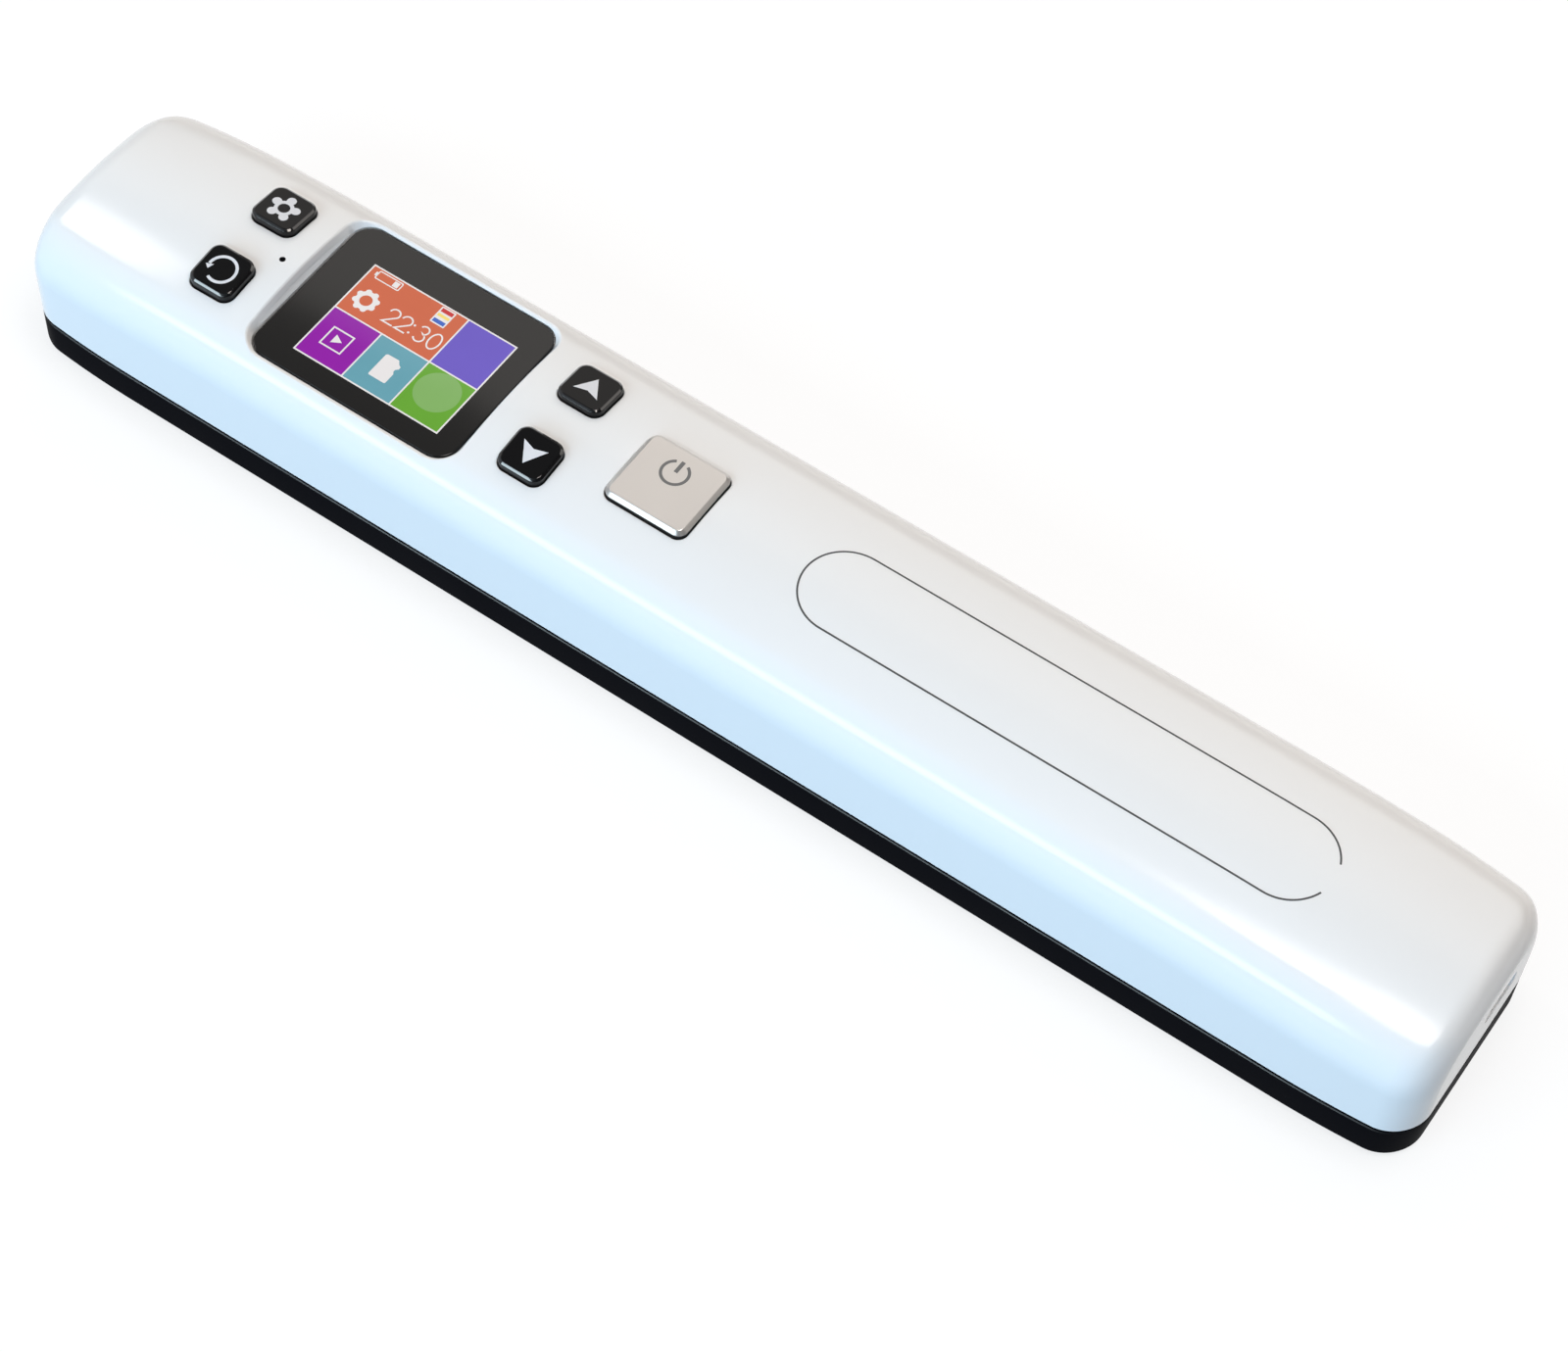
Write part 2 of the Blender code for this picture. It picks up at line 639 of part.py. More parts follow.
def top_casing_core():
    """The room inside the shell, with the space of its bosses, ribs and frames taken out."""
    core = add("core", shell_loft(SHELL_WALL, SHELL_FOOT_Z - OVERRUN))
    top = CROWN_Z + OVERRUN
    low = SHELL_FOOT_Z
    rim = SEAT_GAP + SCREEN_FRAME_RIM
    frame = centred_box(
        SCREEN_X, 0.0, WINDOW_LENGTH + 2 * rim, WINDOW_WIDTH + 2 * rim, LEDGE_Z - SCREEN_LEDGE, top
    )
    carve(core, frame)
    collars = []
    for _, x, y, length, width, _, _ in all_keys():
        margin = 2 * (SEAT_GAP + COLLAR_RIM)
        collars.append(centred_box(x, y, length + margin, width + margin, COLLAR_Z, top))
    carve(core, gather(collars))
    bosses = [rod("Z", x, y, TOP_BOSS_R, low, top) for x, y in screw_places()]
    carve(core, gather(bosses))
    board_bosses = []
    for x, y in board_screw_places():
        board_bosses.append(rod("Z", x, y, BOARD_BOSS_R, BOARD_TOP_Z + SEAT_GAP, top))
    board_bosses.append(rod("Z", *port_screw_place(), BOARD_BOSS_R, PORT_BOARD_TOP_Z + SEAT_GAP, top))
    carve(core, gather(board_bosses))
    ribs = []
    for i in range(RIB_COUNT):
        x = BATTERY_X + BATTERY_LENGTH * ((i + 0.5) / RIB_COUNT - 0.5)
        ribs.append(box(x - RIB_THICK / 2, x + RIB_THICK / 2, RIB_FRONT_Y, RIB_BACK_Y, RIB_Z, top))
    carve(core, gather(ribs))
    return as_shape(core)


def window_pocket():
    """The screen's pocket: upright round the window, then flared out to the roof."""
    top = CROWN_Z + OVERRUN
    levels = ((LEDGE_Z, 0.0), (WINDOW_TOP_Z, 0.0), (top, (top - WINDOW_TOP_Z) * POCKET_DRAFT_SHARE))
    rings = []
    for z, flare in levels:
        grow = 2 * (SEAT_GAP + flare)
        outline = rounded(
            SCREEN_X, 0.0, WINDOW_LENGTH + grow, WINDOW_WIDTH + grow, WINDOW_R + grow / 2, 6
        )
        rings.append([(x, y, z) for x, y in outline])
    return ring_stack(rings)


def shell_openings():
    """Key holes, the reset pinhole, the card slot, the port and the pilot holes."""
    top = CROWN_Z + OVERRUN
    cuts = []
    for _, x, y, length, width, radius, _ in all_keys():
        grow = 2 * SEAT_GAP
        outline = rounded(x, y, length + grow, width + grow, radius + SEAT_GAP)
        cuts.append(prism(outline, COLLAR_Z - OVERRUN, top))
    cuts.append(rod("Z", RESET_X, 0.0, RESET_HOLE_R, BOARD_TOP_Z, top, 12))
    card_z = card_level()
    slot_half = CARD_WIDTH / 2 + SEAT_GAP
    slot_z = (card_z - SEAT_GAP, card_z + CARD_THICK + SEAT_GAP)
    wall_y = HALF_WIDTH - SHELL_WALL
    cuts.append(
        box(CARD_X - slot_half, CARD_X + slot_half, wall_y - OVERRUN / 2, HALF_WIDTH + OVERRUN, *slot_z)
    )
    grow = 2 * PORT_MARGIN
    port = rounded(PORT_Y, USB_Z + USB_HEIGHT / 2, USB_WIDTH + grow, USB_HEIGHT + grow, PORT_R)
    cuts.append(prism(port, HALF_LENGTH - SHELL_WALL - SEAT_GAP, HALF_LENGTH + OVERRUN, "X"))
    for x, y in screw_places():
        cuts.append(rod("Z", x, y, SCREW_R + SEAT_GAP, SHELL_FOOT_Z - OVERRUN, screw_tip() + SEAT_GAP, 12))
    for x, y in board_screw_places():
        cuts.append(rod("Z", x, y, SMALL_SCREW_R + SEAT_GAP, BOARD_TOP_Z, COLLAR_Z, 12))
    port_hole_z = port_screw_tip() + SEAT_GAP
    cuts.append(rod("Z", *port_screw_place(), SMALL_SCREW_R + SEAT_GAP, PORT_BOARD_Z, port_hole_z, 12))
    return gather(cuts)


def card_scoop():
    """A shallow finger scoop in the back wall round the card slot."""
    middle = card_level() + CARD_THICK / 2
    depth_y = HALF_WIDTH - CARD_SCOOP_DEPTH + CARD_SCOOP_R
    return rod(
        "X", depth_y, middle, CARD_SCOOP_R, CARD_X - CARD_WIDTH / 4, CARD_X + CARD_WIDTH / 4, 32
    )


def make_top_casing(skin):
    shell = add("shell", shell_loft(0.0, SHELL_FOOT_Z))
    carve(shell, top_casing_core())
    rebate_outer = LIP_INSET - SEAT_GAP
    rebate_inner = BASE_WALL + SEAT_GAP
    rebate = plan_wall(
        rebate_outer, rebate_inner, SHELL_FOOT_Z - OVERRUN, PARTING_Z + LIP_RISE + SEAT_GAP
    )
    carve(shell, rebate)
    carve(shell, window_pocket())
    opening = 2 * SEAT_GAP
    lcd_hole = centred_box(
        SCREEN_X,
        0.0,
        LCD_LENGTH + opening,
        LCD_WIDTH + opening,
        LEDGE_Z - SCREEN_LEDGE - OVERRUN,
        LEDGE_Z + WINDOW_THICK / 2,
    )
    carve(shell, lcd_hole)
    carve(shell, shell_openings())
    carve(shell, card_scoop())
    shell.data.materials.clear()
    shell.data.materials.append(skin)
    finish(shell, "top_casing")


# Bottom casing


def base_form():
    """The tray's outer form: round below, upright, with a fine bevel at the seam."""
    levels = []
    for i in range(BASE_STEPS + 1):
        angle = math.pi / 2 * i / BASE_STEPS
        levels.append((BASE_ROUND * (1 - math.sin(angle)), BASE_Z + BASE_ROUND * (1 - math.cos(angle))))
    levels.append((0.0, BASE_TOP_Z - BASE_TOP_BEVEL))
    levels.append((BASE_TOP_BEVEL, BASE_TOP_Z))
    return ring_stack([plan_ring(inset, z) for inset, z in levels])


def base_additions():
    """Bosses, posts and ribs that stand on the tray's floor."""
    low = FLOOR_Z - ROOT_IN
    shapes = []
    for x, y in screw_places():
        shapes.append(rod("Z", x, y, BASE_BOSS_R, low, BASE_TOP_Z, 20))
    for x in sensor_ear_places():
        shapes.append(centred_box(x, SENSOR_Y, EAR_LENGTH - SEAT_GAP, EAR_WIDTH / 2, low, EAR_Z - SEAT_GAP))
    rib_top = FLOOR_Z + GUIDE_RIB_HEIGHT
    reach = (BEARING_THICK + GUIDE_RIB) / 2 + SEAT_GAP
    for x in (-BEARING_X, 0.0, BEARING_X):
        for side in (-1, 1):
            for edge in (-1, 1):
                y = ROLLER_Y + edge * (BEARING_WIDTH / 2 - GUIDE_RIB / 2)
                shapes.append(centred_box(x + side * reach, y, GUIDE_RIB, GUIDE_RIB, low, rib_top))
    rib_x = BRACKET_X - BRACKET_THICK - SEAT_GAP - GUIDE_RIB / 2
    rib_y = bracket_foot_y() + GUIDE_RIB / 2
    shapes.append(centred_box(rib_x, rib_y, GUIDE_RIB, GUIDE_RIB, low, rib_top))
    ear_reach = SUPPORT_WIDTH / 2 + SEAT_GAP * 2 + EAR_WALL / 2
    for x in (-ROLLER_X, ROLLER_X):
        for side in (-1, 1):
            ear_x = x + side * ear_reach
            shapes.append(
                centred_box(ear_x, SUPPORT_Y, EAR_WALL, SUPPORT_R, low, SUPPORT_Z + PIN_R + EAR_WALL)
            )
    return gather(shapes)


def encoder_post():
    """The post that carries the encoder's small board."""
    x = encoder_board_x()
    y_face = encoder_board_y() - SEAT_GAP
    return box(
        x - POST_LENGTH / 2,
        x + POST_LENGTH / 2,
        y_face - POST_WIDTH,
        y_face,
        FLOOR_Z - ROOT_IN,
        encoder_centre()[1],
    )


def base_openings():
    """Holes through the floor: the sensor's, the rollers' and the screws'."""
    low = BASE_Z - OVERRUN
    cuts = []
    grow = 2 * SEAT_GAP
    sensor = rounded(SENSOR_X, SENSOR_Y, SENSOR_LENGTH + grow, SENSOR_WIDTH + grow, SENSOR_BEVEL)
    cuts.append(prism(sensor, low, FLOOR_Z + ROOT_IN / 2))
    for x in (-ROLLER_X, ROLLER_X):
        for y, radius, width in (
            (ROLLER_Y, ROLLER_R, ROLLER_WIDTH),
            (SUPPORT_Y, SUPPORT_R, SUPPORT_WIDTH),
        ):
            chord = math.sqrt(radius**2 - (radius - FLOOR_Z) ** 2) + POCKET_MARGIN
            cuts.append(
                centred_box(x, y, width + 2 * POCKET_MARGIN, 2 * chord, low, FLOOR_Z + ROOT_IN / 2)
            )
    for x, y in screw_places():
        cuts.append(rod("Z", x, y, SCREW_HEAD_R + SEAT_GAP, low, BASE_Z + SCREW_SEAT, 20))
    return gather(cuts)


def base_bores():
    """Shank holes through the bosses, pin holes through the ears, and the gear's recess."""
    cuts = []
    for x, y in screw_places():
        seat = BASE_Z + SCREW_SEAT
        cuts.append(rod("Z", x, y, SCREW_R + SEAT_GAP, seat - ROOT_IN, BASE_TOP_Z + OVERRUN, 12))
    reach = SUPPORT_WIDTH / 2 + OVERRUN
    for x in (-ROLLER_X, ROLLER_X):
        cuts.append(rod("X", SUPPORT_Y, SUPPORT_Z, PIN_R + SEAT_GAP, x - reach, x + reach, 12))
    _, gear_high, gear_low, _, _, _, _ = gear_planes()
    recess = outer_radius(SHAFT_TEETH) + SEAT_GAP
    cuts.append(
        rod("X", ROLLER_Y, ROLLER_Z, recess, gear_low - 2 * SEAT_GAP, gear_high + 2 * SEAT_GAP, 28)
    )
    return gather(cuts)


def ear_screw_holes():
    """Pilot holes in the posts that carry the sensor's ears."""
    depth = EAR_Z - EAR_SCREW_LENGTH + EAR_THICK
    holes = []
    for x in sensor_ear_places():
        holes.append(rod("Z", x, SENSOR_Y, SMALL_SCREW_R + SEAT_GAP, depth - SEAT_GAP, EAR_Z + OVERRUN, 12))
    return gather(holes)


def make_bottom_casing(skin):
    tray = add("tray", base_form())
    hollow = ring_stack([plan_ring(BASE_WALL, z) for z in (FLOOR_Z, BASE_TOP_Z + OVERRUN)])
    carve(tray, hollow)
    carve(tray, base_additions(), "UNION")
    carve(tray, encoder_post(), "UNION")
    lip_low = BASE_TOP_Z - ROOT_IN
    carve(tray, plan_wall(LIP_INSET, BASE_WALL + SEAT_GAP / 2, lip_low, PARTING_Z + LIP_RISE), "UNION")
    carve(tray, base_openings())
    carve(tray, base_bores())
    carve(tray, ear_screw_holes())
    tray.data.materials.clear()
    tray.data.materials.append(skin)
    finish(tray, "bottom_casing")


# Screen


def make_screen(window_skin, lcd_skin):
    outline = rounded(SCREEN_X, 0.0, WINDOW_LENGTH, WINDOW_WIDTH, WINDOW_R, 6)
    window = add("screen_window", prism(outline, WINDOW_BOTTOM_Z, WINDOW_TOP_Z), window_skin, smooth=35)
    bevel(window, WINDOW_THICK / 6, 1)
    panel = centred_box(SCREEN_X, 0.0, LCD_LENGTH, LCD_WIDTH, LCD_BOTTOM_Z, LCD_TOP_Z)
    lcd = add("lcd_panel", panel, lcd_skin)
    bevel(lcd, LCD_EDGE_BEVEL, 1)


# Keys and switches


def key_cap(x, y, length, width, radius, edge):
    """A key with its stem in the switch's well and its flange under the shell. Its top follows the crown."""
    top = KEY_TOP_Z if y else POWER_TOP_Z
    slope = math.copysign(KEY_SLOPE, y) if y else 0.0
    levels = (
        (KEY_FLANGE_RIM, FLANGE_Z, 0.0),
        (KEY_FLANGE_RIM, FLANGE_TOP_Z, 0.0),
        (0.0, FLANGE_TOP_Z, 0.0),
        (0.0, top - edge, slope),
        (-edge / 3, top - edge / 3, slope),
        (-edge, top, slope),
    )
    rings = []
    for grow, z, lean in levels:
        corner = max(radius + grow, radius / 2)
        outline = rounded(x, y, length + 2 * grow, width + 2 * grow, corner)
        rings.append([(px, py, z - lean * (py - y)) for px, py in outline])
    stem = circle(x, y, PLUNGER_R, len(rings[0]))
    for z in (FLANGE_Z, FLANGE_Z - KEY_STEM):
        rings.insert(0, [(px, py, z) for px, py in stem])
    return ring_stack(rings)


def switch_body(x, y):
    """A square tact switch with a round well for its plunger."""
    body = add("body", centred_box(x, y, SWITCH_SIZE, SWITCH_SIZE, SWITCH_Z, SWITCH_TOP_Z))
    well = rod(
        "Z", x, y, PLUNGER_R + SEAT_GAP, SWITCH_TOP_Z - SWITCH_WELL, SWITCH_TOP_Z + OVERRUN, 14
    )
    carve(body, well)
    return as_shape(body)


def make_keys(key_skin, power_skin, plunger_skin, switch_skin):
    for name, x, y, length, width, radius, edge in all_keys():
        skin = power_skin if name == "power" else key_skin
        origin = (x, y, FLANGE_TOP_Z)
        add(name + "_button", key_cap(x, y, length, width, radius, edge), skin, origin, 35)
        add(name + "_switch", switch_body(x, y), switch_skin)
    add("reset_switch", switch_body(RESET_X, 0.0), switch_skin)
    low = FLANGE_Z - KEY_STEM
    plunger = rod("Z", RESET_X, 0.0, PLUNGER_R, low, low + PLUNGER_LENGTH, 12)
    add("reset_plunger", plunger, plunger_skin, (RESET_X, 0.0, SWITCH_TOP_Z), 35)


# Boards


def screw(x, y, radius, head_r, head_low, head_high, tip, steps=12):
    """A screw as a turned form: head at one level, plain shank to its tip."""
    towards_tip = head_high if tip > head_high else head_low
    far_side = head_low if tip > head_high else head_high
    profile = ((head_r, far_side), (head_r, towards_tip), (radius, towards_tip), (radius, tip))
    return ring_stack([[(px, py, z) for px, py in circle(x, y, r, steps)] for r, z in profile])


def screw_tip():
    return PARTING_Z + SCREW_REACH


def port_screw_tip():
    return PORT_BOARD_TOP_Z + PORT_SCREW_REACH


def make_boards(board_skin, screw_skin):
    """The main board, with its chips and its cable's connector soldered on below."""
    middle = (BOARD_LEFT_X + BOARD_RIGHT_X) / 2
    outline = rounded(middle, 0.0, BOARD_RIGHT_X - BOARD_LEFT_X, BOARD_WIDTH, BOARD_R, 2)
    board = add("board", prism(outline, BOARD_Z, BOARD_TOP_Z))
    root = BOARD_Z + BOARD_THICK / 3
    memory_y = card_mouth_y() - SOCKET_DEPTH - 2 * SEAT_GAP - MEMORY_CHIP_SIZE / 2
    chips = []
    for x, y, size in (
        ((LEFT_KEYS_X + SCREEN_X) / 2, -BOARD_WIDTH / 6, PROCESSOR_SIZE),
        (SCREEN_X, memory_y, MEMORY_CHIP_SIZE),
        (POWER_X, 0.0, MEMORY_CHIP_SIZE),
    ):
        chips.append(centred_box(x, y, size, size, BOARD_Z - CHIP_THICK, root))
    chips.append(
        centred_box(
            CABLE_X - CONNECTOR_LENGTH / 2, SENSOR_Y, CONNECTOR_LENGTH, CABLE_WIDTH, upper_plug_z(), root
        )
    )
    carve(board, gather(chips), "UNION")
    holes = [
        rod("Z", x, y, SMALL_SCREW_R + SEAT_GAP, BOARD_Z - OVERRUN, BOARD_TOP_Z + OVERRUN, 12)
        for x, y in board_screw_places()
    ]
    carve(board, gather(holes))
    board.data.materials.clear()
    board.data.materials.append(board_skin)
    finish(board, "main_board")
    head_top = BOARD_Z - SEAT_GAP
    for i, (x, y) in enumerate(board_screw_places()):
        tip = COLLAR_Z - SEAT_GAP
        shape = screw(x, y, SMALL_SCREW_R, SMALL_HEAD_R, head_top - SMALL_HEAD_THICK, head_top, tip)
        add(f"board_screw_{i + 1}", shape, screw_skin, smooth=35)


def card_mouth_y():
    """The socket's open end, just inside the back wall."""
    return HALF_WIDTH - SHELL_WALL - 4 * SEAT_GAP - SOCKET_SIDE


def card_level():
    """The card's underside: it lies in its socket below the main board."""
    return BOARD_Z - SEAT_GAP - SOCKET_WALL - SEAT_GAP - CARD_THICK


def make_card(socket_skin, card_skin):
    low = card_level()
    mouth_y = card_mouth_y()
    socket = add(
        "socket",
        box(
            CARD_X - CARD_WIDTH / 2 - SOCKET_SIDE,
            CARD_X + CARD_WIDTH / 2 + SOCKET_SIDE,
            mouth_y - SOCKET_DEPTH,
            mouth_y,
            low - SEAT_GAP - SOCKET_WALL,
            BOARD_Z - SEAT_GAP,
        ),
        socket_skin,
    )
    slot = box(
        CARD_X - CARD_WIDTH / 2 - SEAT_GAP,
        CARD_X + CARD_WIDTH / 2 + SEAT_GAP,
        mouth_y - SOCKET_DEPTH + SOCKET_WALL,
        mouth_y + OVERRUN,
        low - SEAT_GAP,
        low + CARD_THICK + SEAT_GAP,
    )
    carve(socket, slot)
    finish(socket, "card_socket")
    end_y = HALF_WIDTH - CARD_RECESS
    left = CARD_X - CARD_WIDTH / 2
    right = CARD_X + CARD_WIDTH / 2
    inner_y = end_y - CARD_LENGTH
    outline = [
        (left, inner_y),
        (right - CARD_NOTCH, inner_y),
        (right - CARD_NOTCH, inner_y + CARD_LENGTH * CARD_NOTCH_SHARE),
        (right, inner_y + CARD_LENGTH * CARD_NOTCH_SHARE + CARD_NOTCH),
        (right, end_y),
        (left, end_y),
    ]
    add("memory_card", prism(outline, low, low + CARD_THICK), card_skin, (CARD_X, end_y, low))


def make_port(board_skin, metal_skin, screw_skin, cable_skin):
    near, far = port_board_x()
    middle = (near + far) / 2
    outline = rounded(middle, PORT_Y, far - near, PORT_BOARD_WIDTH, BOARD_R, 2)
    board = add("board", prism(outline, PORT_BOARD_Z, PORT_BOARD_TOP_Z), board_skin)
    hole_r = SMALL_SCREW_R + SEAT_GAP
    hole = rod("Z", *port_screw_place(), hole_r, PORT_BOARD_Z - OVERRUN, PORT_BOARD_TOP_Z + OVERRUN, 12)
    carve(board, hole)
    finish(board, "port_board")
    low = USB_Z
    high = USB_Z + USB_HEIGHT
    half = USB_WIDTH / 2

    def usb_outline(inset):
        chamfer = USB_CORNER
        return [
            (PORT_Y - half + inset + chamfer, low + inset),
            (PORT_Y + half - inset - chamfer, low + inset),
            (PORT_Y + half - inset, low + inset + chamfer),
            (PORT_Y + half - inset, high - inset),
            (PORT_Y - half + inset, high - inset),
            (PORT_Y - half + inset, low + inset + chamfer),
        ]

    mouth = far + SEAT_GAP
    socket = add("socket", prism(usb_outline(0.0), mouth - USB_DEPTH, mouth, "X"), metal_skin)
    carve(socket, prism(usb_outline(USB_WALL), mouth - USB_DEPTH + USB_WALL, mouth + OVERRUN, "X"))
    tongue = box(
        mouth - USB_DEPTH + USB_WALL / 2,
        mouth - USB_TONGUE,
        PORT_Y - half / 2,
        PORT_Y + half / 2,
        low + USB_HEIGHT / 2,
        low + USB_HEIGHT / 2 + USB_TONGUE,
    )
    carve(socket, tongue, "UNION")
    finish(socket, "usb_socket")
    head_top = PORT_BOARD_Z - SEAT_GAP
    head_low = head_top - SMALL_HEAD_THICK
    shape = screw(*port_screw_place(), SMALL_SCREW_R, SMALL_HEAD_R, head_low, head_top, port_screw_tip())
    add("port_screw", shape, screw_skin, smooth=35)
    side_y = ROLLER_Y
    start_x = BOARD_RIGHT_X - PROCESSOR_SIZE / 3
    board_side = BOARD_TOP_Z + SEAT_GAP + LEAD_R
    port_side = PORT_BOARD_TOP_Z + SEAT_GAP + LEAD_R
    route = (
        (start_x, side_y - LEAD_R * 3, board_side),
        (BOARD_RIGHT_X + LEAD_R * 4, side_y - LEAD_R * 2, board_side + LEAD_R),
        (BATTERY_X - BATTERY_LENGTH / 4, side_y, board_side + LEAD_R),
        (BATTERY_X + BATTERY_LENGTH / 2, side_y, board_side),
        (near - PORT_BOARD_LENGTH, side_y, board_side - LEAD_R * 3),
        (near - LEAD_R * 3, side_y - LEAD_R, port_side + LEAD_R * 2),
        (near + LEAD_R * 2, side_y - LEAD_R * 2, port_side),
    )
    wire("port_cable", route, LEAD_R, cable_skin)


def wire(name, route, radius, skin, steps=3):
    """A round lead along a smooth curve through its route's points."""
    points = [Vector(p) for p in route]
    padded = [points[0] * 2 - points[1]] + points + [points[-1] * 2 - points[-2]]
    smooth = []
    for a, b, c, d in zip(padded, padded[1:], padded[2:], padded[3:]):
        for i in range(steps):
            t = i / steps
            smooth.append(
                ((2 * b) + (c - a) * t + (2 * a - 5 * b + 4 * c - d) * t**2 + (3 * b - a - 3 * c + d) * t**3)
                / 2
            )
    smooth.append(points[-1])
    curve = bpy.data.curves.new(name, "CURVE")
    curve.dimensions = "3D"
    curve.bevel_depth = radius
    curve.bevel_resolution = 1
    curve.use_fill_caps = True
    spline = curve.splines.new("POLY")
    spline.points.add(len(smooth) - 1)
    for knot, place in zip(spline.points, smooth):
        knot.co = (*place, 1.0)
    item = bpy.data.objects.new(name, curve)
    bpy.context.scene.collection.objects.link(item)
    curve.materials.append(skin)
    return item


# Battery


def make_battery(cell_skin, pad_skin, red_skin, black_skin):
    cell = prism(
        rounded(0.0, (BATTERY_Z + BATTERY_TOP_Z) / 2, BATTERY_WIDTH, BATTERY_THICK, BATTERY_R),
        BATTERY_X - BATTERY_LENGTH / 2,
        BATTERY_X + BATTERY_LENGTH / 2,
        "X",
    )
    add("battery_cell", cell, cell_skin, smooth=35)
    pad = centred_box(
        BATTERY_X,
        (RIB_FRONT_Y + RIB_BACK_Y) / 2,
        BATTERY_LENGTH * PAD_SHARE,
        (RIB_BACK_Y - RIB_FRONT_Y) * PAD_SHARE,
        PAD_Z,
        PAD_Z + PAD_THICK,
    )
    add("battery_pad", pad, pad_skin)
    start_x = BATTERY_X - BATTERY_LENGTH / 2 - SEAT_GAP
    middle_z = (BATTERY_Z + BATTERY_TOP_Z) / 2
    for name, y, skin in (
        ("battery_lead_red", -LEAD_PITCH, red_skin),
        ("battery_lead_black", -2 * LEAD_PITCH, black_skin),
    ):
        board_z = BOARD_Z - SEAT_GAP - LEAD_R
        route = (
            (start_x, y, middle_z),
            (start_x - LEAD_R * 4, y, middle_z + LEAD_R),
            ((start_x + BOARD_RIGHT_X) / 2, y, (middle_z + board_z) / 2),
            (BOARD_RIGHT_X - LEAD_R, y, board_z - LEAD_R),
            (BOARD_RIGHT_X - LEAD_R * 5, y, board_z),
        )
        wire(name, route, LEAD_R, skin)


# Image sensor


def make_sensor(housing_skin, glass_skin, lens_skin, guide_skin, board_skin, screw_skin):
    housing = add(
        "housing",
        centred_box(SENSOR_X, SENSOR_Y, SENSOR_LENGTH, SENSOR_WIDTH, SENSOR_BOTTOM_Z, SENSOR_TOP_Z),
    )
    ears = [
        centred_box(x, SENSOR_Y, EAR_LENGTH + 2 * ROOT_IN, EAR_WIDTH, EAR_Z, EAR_Z + EAR_THICK)
        for x in sensor_ear_places()
    ]
    carve(housing, gather(ears), "UNION")
    glass_length = SENSOR_LENGTH - 2 * SENSOR_RIM
    glass_width = SENSOR_WIDTH - 2 * SENSOR_RIM
    grow = 2 * SEAT_GAP
    pocket = centred_box(
        SENSOR_X,
        SENSOR_Y,
        glass_length + grow,
        glass_width + grow,
        SENSOR_BOTTOM_Z - OVERRUN,
        GLASS_TOP_Z + SEAT_GAP,
    )
    carve(housing, pocket)
    inner_length = glass_length - 2 * SENSOR_RIM
    lens_y = SENSOR_Y + LENS_OFFSET
    lens_z = GLASS_TOP_Z + LENS_GAP_BELOW
    guide_y = lens_y - LENS_WIDTH / 2 - SEAT_GAP - CHAMBER_WIDTH / 2 - ROOT_IN
    guide_z = GLASS_TOP_Z + 2 * SEAT_GAP + GUIDE_R
    lens_slot = centred_box(
        SENSOR_X, lens_y, inner_length, LENS_WIDTH + grow, GLASS_TOP_Z, SENSOR_TOP_Z + OVERRUN
    )
    carve(housing, lens_slot)
    chamber = centred_box(
        SENSOR_X, guide_y, inner_length, CHAMBER_WIDTH, GLASS_TOP_Z, GLASS_TOP_Z + CHAMBER_HEIGHT
    )
    carve(housing, chamber)
    holes = [
        rod("Z", x, SENSOR_Y, SMALL_SCREW_R + SEAT_GAP, EAR_Z - OVERRUN, EAR_Z + EAR_THICK + OVERRUN, 12)
        for x in sensor_ear_places()
    ]
    carve(housing, gather(holes))
    housing.data.materials.clear()
    housing.data.materials.append(housing_skin)
    finish(housing, "sensor_housing")
    glass = centred_box(SENSOR_X, SENSOR_Y, glass_length, glass_width, GLASS_Z, GLASS_TOP_Z)
    item = add("scan_glass", glass, glass_skin)
    bevel(item, GLASS_MARGIN / 2, 1)
    inset_length = inner_length - grow
    lens = centred_box(SENSOR_X, lens_y, inset_length, LENS_WIDTH, lens_z, lens_z + LENS_HEIGHT)
    add("rod_lens_array", lens, lens_skin)
    guide = rod(
        "X",
        guide_y,
        guide_z,
        GUIDE_R,
        SENSOR_X - inset_length / 2,
        SENSOR_X + inset_length / 2,
        14,
    )
    add("light_guide", guide, guide_skin, smooth=35)
    plate = centred_box(
        SENSOR_X, SENSOR_Y, SENSOR_LENGTH, SENSOR_BOARD_WIDTH, SENSOR_BOARD_Z, SENSOR_BOARD_TOP_Z
    )
    board = add("sensor_board", plate)
    root = SENSOR_BOARD_TOP_Z - SENSOR_BOARD_THICK / 3
    block = centred_box(
        CABLE_X - CONNECTOR_LENGTH / 2,
        SENSOR_Y,
        CONNECTOR_LENGTH,
        SENSOR_BOARD_WIDTH - 2 * SEAT_GAP,
        root,
        lower_plug_z(),
    )
    carve(board, block, "UNION")
    board.data.materials.clear()
    board.data.materials.append(board_skin)
    finish(board, "sensor_board")
    head_low = EAR_Z + EAR_THICK + SEAT_GAP
    tip = head_low - EAR_SCREW_LENGTH
    for side, x in zip(("left", "right"), sensor_ear_places()):
        shape = screw(x, SENSOR_Y, SMALL_SCREW_R, SMALL_HEAD_R, head_low, head_low + SMALL_HEAD_THICK, tip)
        add("sensor_screw_" + side, shape, screw_skin, smooth=35)


def lower_plug_z():
    """The top of the connector on the sensor's board."""
    return SENSOR_BOARD_TOP_Z + CONNECTOR_HEIGHT


